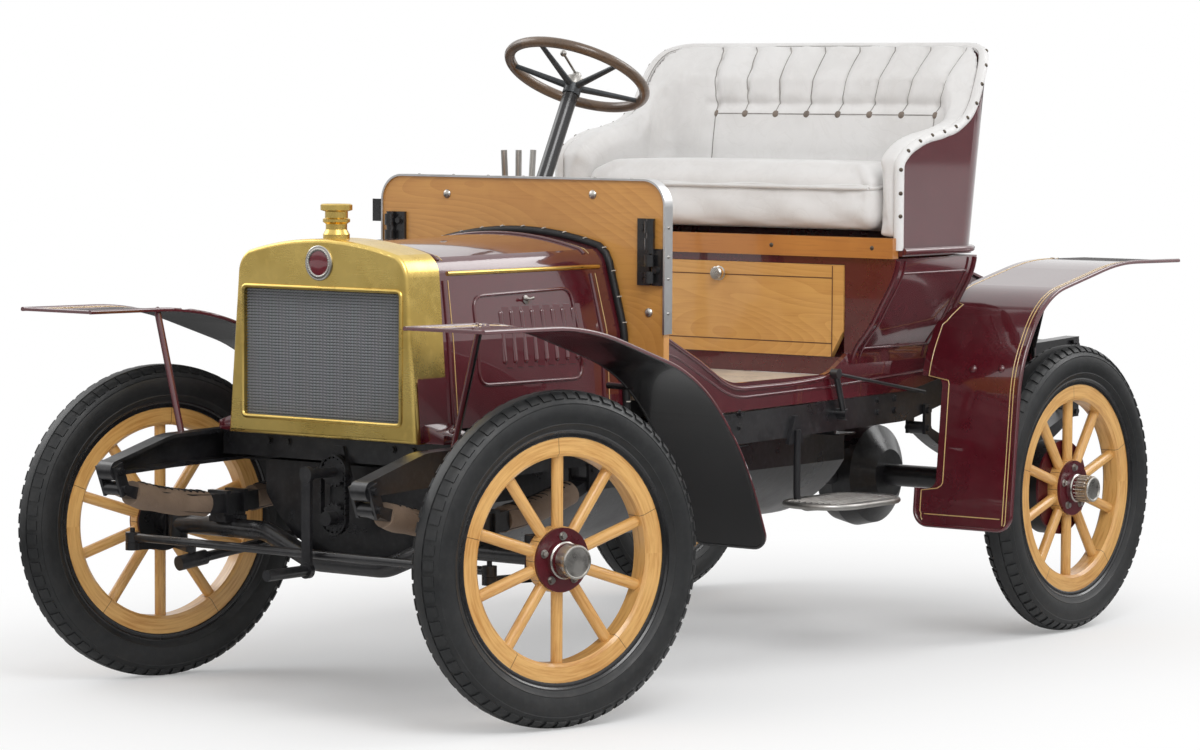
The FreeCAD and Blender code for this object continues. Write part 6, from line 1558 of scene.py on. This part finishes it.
class CAR_OT_controls(bpy.types.Operator):
    """Cover the steering wheel's rim in wood and add its lever, nut and boss"""

    bl_idname = "car.controls"
    bl_label = "Controls"

    def execute(self, context):
        joint = JOINTS["hand_wheel_turn"]
        stand = along(joint["axis"], Vector(joint["pos_m"]))
        rim, thick = 0.181, 0.0136
        bm = bmesh.new()
        ring = [(rim + math.cos(turn) * thick, math.sin(turn) * thick) for turn in fan(0, 360, 24)]
        lathe(bm, ring, 96, stand)
        finish_mesh("rim_wood", bm, "rim_wood", "steering_wheel")
        bm = bmesh.new()
        lathe(bm, WHEEL_BOSS, 40, stand)
        lathe(bm, WHEEL_NUT, 24, stand)
        bar(bm, stand @ Vector((0.008, 0, 0.001)), stand @ Vector((0.094, 0.018, 0.010)), 0.0032)
        tip = stand @ Matrix.Translation((0.098, 0.0188, 0.0104))
        bmesh.ops.create_uvsphere(bm, u_segments=16, v_segments=10, radius=0.0085, matrix=tip)
        finish_mesh("wheel_nut", bm, "worn_steel", "steering_wheel")
        return {"FINISHED"}


class CAR_OT_chassis_fittings(bpy.types.Operator):
    """Add bolts, laced spring gaiters and tread edges below the body"""

    bl_idname = "car.chassis_fittings"
    bl_label = "Chassis fittings"

    def execute(self, context):
        skin, bolts = surface_of("frame"), []
        along_frame = (-0.05, -0.12, -0.42, -0.50, -0.92, -1.00, -1.62, -1.70)
        for side in SIDES:
            spots = [(FRONT_X + x, side * 0.8, z) for x in along_frame for z in (0.600, 0.632)]
            bolts += lay_on(skin, spots, (0, -side, 0))
        spots = [(FRONT_X + 0.8, y, 0.60) for y in (-0.22, -0.16, 0.16, 0.22)]
        bolts += lay_on(skin, spots, -AHEAD)
        hex_heads("frame_bolts", bolts, 0.0075, 0.008, "chassis_black")
        self.gaiters()
        self.steps()
        return {"FINISHED"}

    def gaiters(self):
        """Laced leather sleeves round the front springs."""
        springs = surface_of("front_springs")
        laces, bm = [], bmesh.new()
        for side in SIDES:
            for start, end in ((0.335, 0.085), (-0.085, -0.335)):
                line = []
                for i in range(11):
                    x, y = FRONT_X + start + (end - start) * i / 10, side * 0.384
                    top = trace(springs, [(x, y, 0.9)], -UP)
                    low = trace(springs, [(x, y, 0.1)], UP)
                    if top and low:
                        line.append((top[0] + low[0]) / 2)
                mesh = tube_mesh("sleeve", [line], 0.0305, kind="NURBS", sides=6)
                bm.from_mesh(mesh)
                bpy.data.meshes.remove(mesh)
                for spot in evenly(line, 0.022)[1:-1]:
                    stitch = []
                    for k, turn in enumerate(fan(58, 122, 4)):
                        across, up = math.cos(turn) * 0.0322, math.sin(turn) * 0.0317
                        stitch.append(spot + Vector((0.004 * (k - 2), across, up)))
                    laces.append(stitch)
        for p in (vert.co for vert in bm.verts):
            swell = math.sin(p.x * 83.0) * 0.0008 + math.sin(p.x * 47.0 + p.z * 60.0) * 0.0012
            p.z += swell
            p.y += swell * 0.8
        finish_mesh("spring_gaiters", bm, "old_leather", angle=60)
        tubes("gaiter_laces", laces, 0.0019, "black_leather")

    def steps(self):
        """Rolled edges and ribs of the two treads."""
        skin, edges, ribs = surface_of("steps"), [], []
        x0, y0, edge_z, top_z = FRONT_X - 1.330, 0.490, 0.396, 0.402
        for side in SIDES:
            centre = Vector((x0, side * y0, edge_z))
            loop = []
            for i in range(64):
                way = heading(2 * math.pi * i / 64)
                far = centre + way * 0.4
                loop += [p for p in trace(skin, [far], -way, -0.001) if (p - far).length < 0.36]
            edges.append(loop)
            for i in range(9):
                y = side * (y0 + (i - 4) * 0.018)
                row = [(x0 + (j - 10) * 0.0135, y, 0.6) for j in range(21)]
                hits = [p for p in trace(skin, row, -UP, 0.0002) if abs(p.z - top_z) < 0.004]
                if len(hits) > 3:
                    ribs.append([hits[0], hits[-1]])
        tubes("step_edges", edges, 0.0078, "worn_steel", cyclic=True, sides=4)
        tubes("step_ribs", ribs, 0.0020, "worn_steel")


class CAR_OT_stage(bpy.types.Operator):
    """Set the pale floor, the soft lights and the camera"""

    bl_idname = "car.stage"
    bl_label = "Stage and camera"

    def execute(self, context):
        self.floor(context.scene)
        self.sky(context.scene)
        self.lights(context.scene)
        self.camera(context.scene)
        context.scene.view_settings.view_transform = "Standard"
        return {"FINISHED"}

    def floor(self, scene):
        """White paper that fades into the background away from the car."""
        bm = bmesh.new()
        bmesh.ops.create_grid(bm, x_segments=2, y_segments=2, size=60.0)
        mesh = to_mesh("studio_floor", bm)
        floor = bpy.data.objects.new("studio_floor", mesh)
        scene.collection.objects.link(floor)
        floor.location.z = -0.0006
        paper = bpy.data.materials.new("floor_paper")
        paper.use_nodes = True
        mesh.materials.append(paper)
        g = Graph(paper.node_tree)
        bsdf = g.tree.nodes["Principled BSDF"]
        bsdf.inputs["Base Color"].default_value = (0.93, 0.93, 0.93, 1)
        bsdf.inputs["Roughness"].default_value = 0.9
        bsdf.inputs["Specular IOR Level"].default_value = 0.1
        far = g.length(g.stretch(g.add("TexCoord").outputs["Object"], (0.72, 1.0, 0.0)))
        rays = g.add("LightPath").outputs
        seen, mirrored_ray = rays["Is Camera Ray"], rays["Is Glossy Ray"]
        share = g.times(g.spread(far, 0.9, 2.1, 0.22, 1.0), g.calc("MAXIMUM", seen, mirrored_ray))
        strength = g.calc("MAXIMUM", seen, g.spread(far, 8.5, 11.0, 0.09, 0.8))
        glow = g.add("Emission", {"Color": (1, 1, 1, 1), "Strength": strength})
        both = g.add("MixShader", {0: share, 1: bsdf.outputs[0], 2: glow.outputs[0]})
        g.link(both.outputs[0], g.tree.nodes["Material Output"].inputs[0])

    def sky(self, scene):
        """White behind the car, and a darker horizon in what it mirrors."""
        scene.world = bpy.data.worlds.new("studio")
        scene.world.use_nodes = True
        g = Graph(scene.world.node_tree)
        g.tree.nodes.clear()
        rays = g.add("LightPath").outputs
        height = g.parts(g.add("TexCoord").outputs["Generated"])["Z"]
        mirrored_sky = g.times(rays["Is Glossy Ray"], g.spread(height, 0.045, 0.085, -0.45, 0.35))
        soft = g.add("Background", {"Color": (1, 1, 1, 1), "Strength": g.plus(0.6, mirrored_sky)})
        white = g.add("Background", {"Color": (1, 1, 1, 1), "Strength": 1.0})
        shades = {0: rays["Is Camera Ray"], 1: soft.outputs[0], 2: white.outputs[0]}
        g.add("OutputWorld", {"Surface": g.add("MixShader", shades).outputs[0]})

    def lights(self, scene):
        for name, place, aim, size, power in (
            ("key_light", (3.5, 4.5, 5.5), (0, 0, 0.5), 3.5, 230.0),
            ("rear_light", (-4.5, 3.0, 4.5), (0, 0, 0.7), 3.0, 110.0),
            ("far_light", (1.5, -5.0, 4.0), (0, 0, 0.6), 3.5, 90.0),
        ):
            data = bpy.data.lights.new(name, "AREA")
            data.shape = "SQUARE"
            data.size = size
            data.energy = power
            lamp = bpy.data.objects.new(name, data)
            lamp.location = place
            lamp.rotation_mode = "QUATERNION"
            lamp.rotation_quaternion = (Vector(aim) - Vector(place)).to_track_quat("-Z", "Y")
            scene.collection.objects.link(lamp)

    def camera(self, scene):
        seen = scene.car_view
        camera = bpy.data.cameras.new("photo_camera")
        camera.lens = seen.focal
        camera.sensor_width = 36.0
        camera.sensor_fit = "HORIZONTAL"
        camera.clip_end = 200
        holder = bpy.data.objects.new("photo_camera", camera)
        scene.collection.objects.link(holder)
        level = -heading(seen.bearing) * math.cos(seen.drop)
        look = Vector((level.x, level.y, -math.sin(seen.drop)))
        right = look.cross(UP).normalized()
        up = right.cross(look)
        across = right * math.cos(seen.roll) + up * math.sin(seen.roll)
        upward = up * math.cos(seen.roll) - right * math.sin(seen.roll)
        turn = Matrix((across, upward, -look)).transposed()
        holder.matrix_world = Matrix.Translation(seen.camera_place) @ turn.to_4x4()
        scene.camera = holder


class CAR_PT_panel(bpy.types.Panel):
    """Sizes, colours and steps of the car"""

    bl_idname = "CAR_PT_panel"
    bl_label = "Brass era car"
    bl_space_type = "VIEW_3D"
    bl_region_type = "UI"
    bl_category = "Car"

    def draw(self, context):
        layout = self.layout
        for group in (context.scene.car_paint, context.scene.car_sizes, context.scene.car_view):
            box = layout.box()
            for name in group.__annotations__:
                box.prop(group, name)
        for step in STEPS:
            layout.operator(step.bl_idname)


SETTINGS = (
    ("car_paint", CarPaintSettings),
    ("car_sizes", CarSizeSettings),
    ("car_view", CarViewSettings),
)
STEPS = (
    CAR_OT_finishes,
    CAR_OT_frame_looks,
    CAR_OT_tyres,
    CAR_OT_wheel_fittings,
    CAR_OT_radiator,
    CAR_OT_bonnet,
    CAR_OT_dash,
    CAR_OT_cushion,
    CAR_OT_seat_back,
    CAR_OT_seat_trim,
    CAR_OT_fender_trim,
    CAR_OT_body_trim,
    CAR_OT_controls,
    CAR_OT_chassis_fittings,
    CAR_OT_stage,
)


def register():
    for name, group in SETTINGS:
        bpy.utils.register_class(group)
        setattr(bpy.types.Scene, name, PointerProperty(type=group))
    for step in STEPS:
        bpy.utils.register_class(step)
    bpy.utils.register_class(CAR_PT_panel)


def unregister():
    bpy.utils.unregister_class(CAR_PT_panel)
    for step in reversed(STEPS):
        bpy.utils.unregister_class(step)
    for name, group in reversed(SETTINGS):
        delattr(bpy.types.Scene, name)
        bpy.utils.unregister_class(group)


def main():
    register()
    for step in STEPS:
        group, name = step.bl_idname.split(".")
        getattr(getattr(bpy.ops, group), name)()


if __name__ == "__main__":
    main()
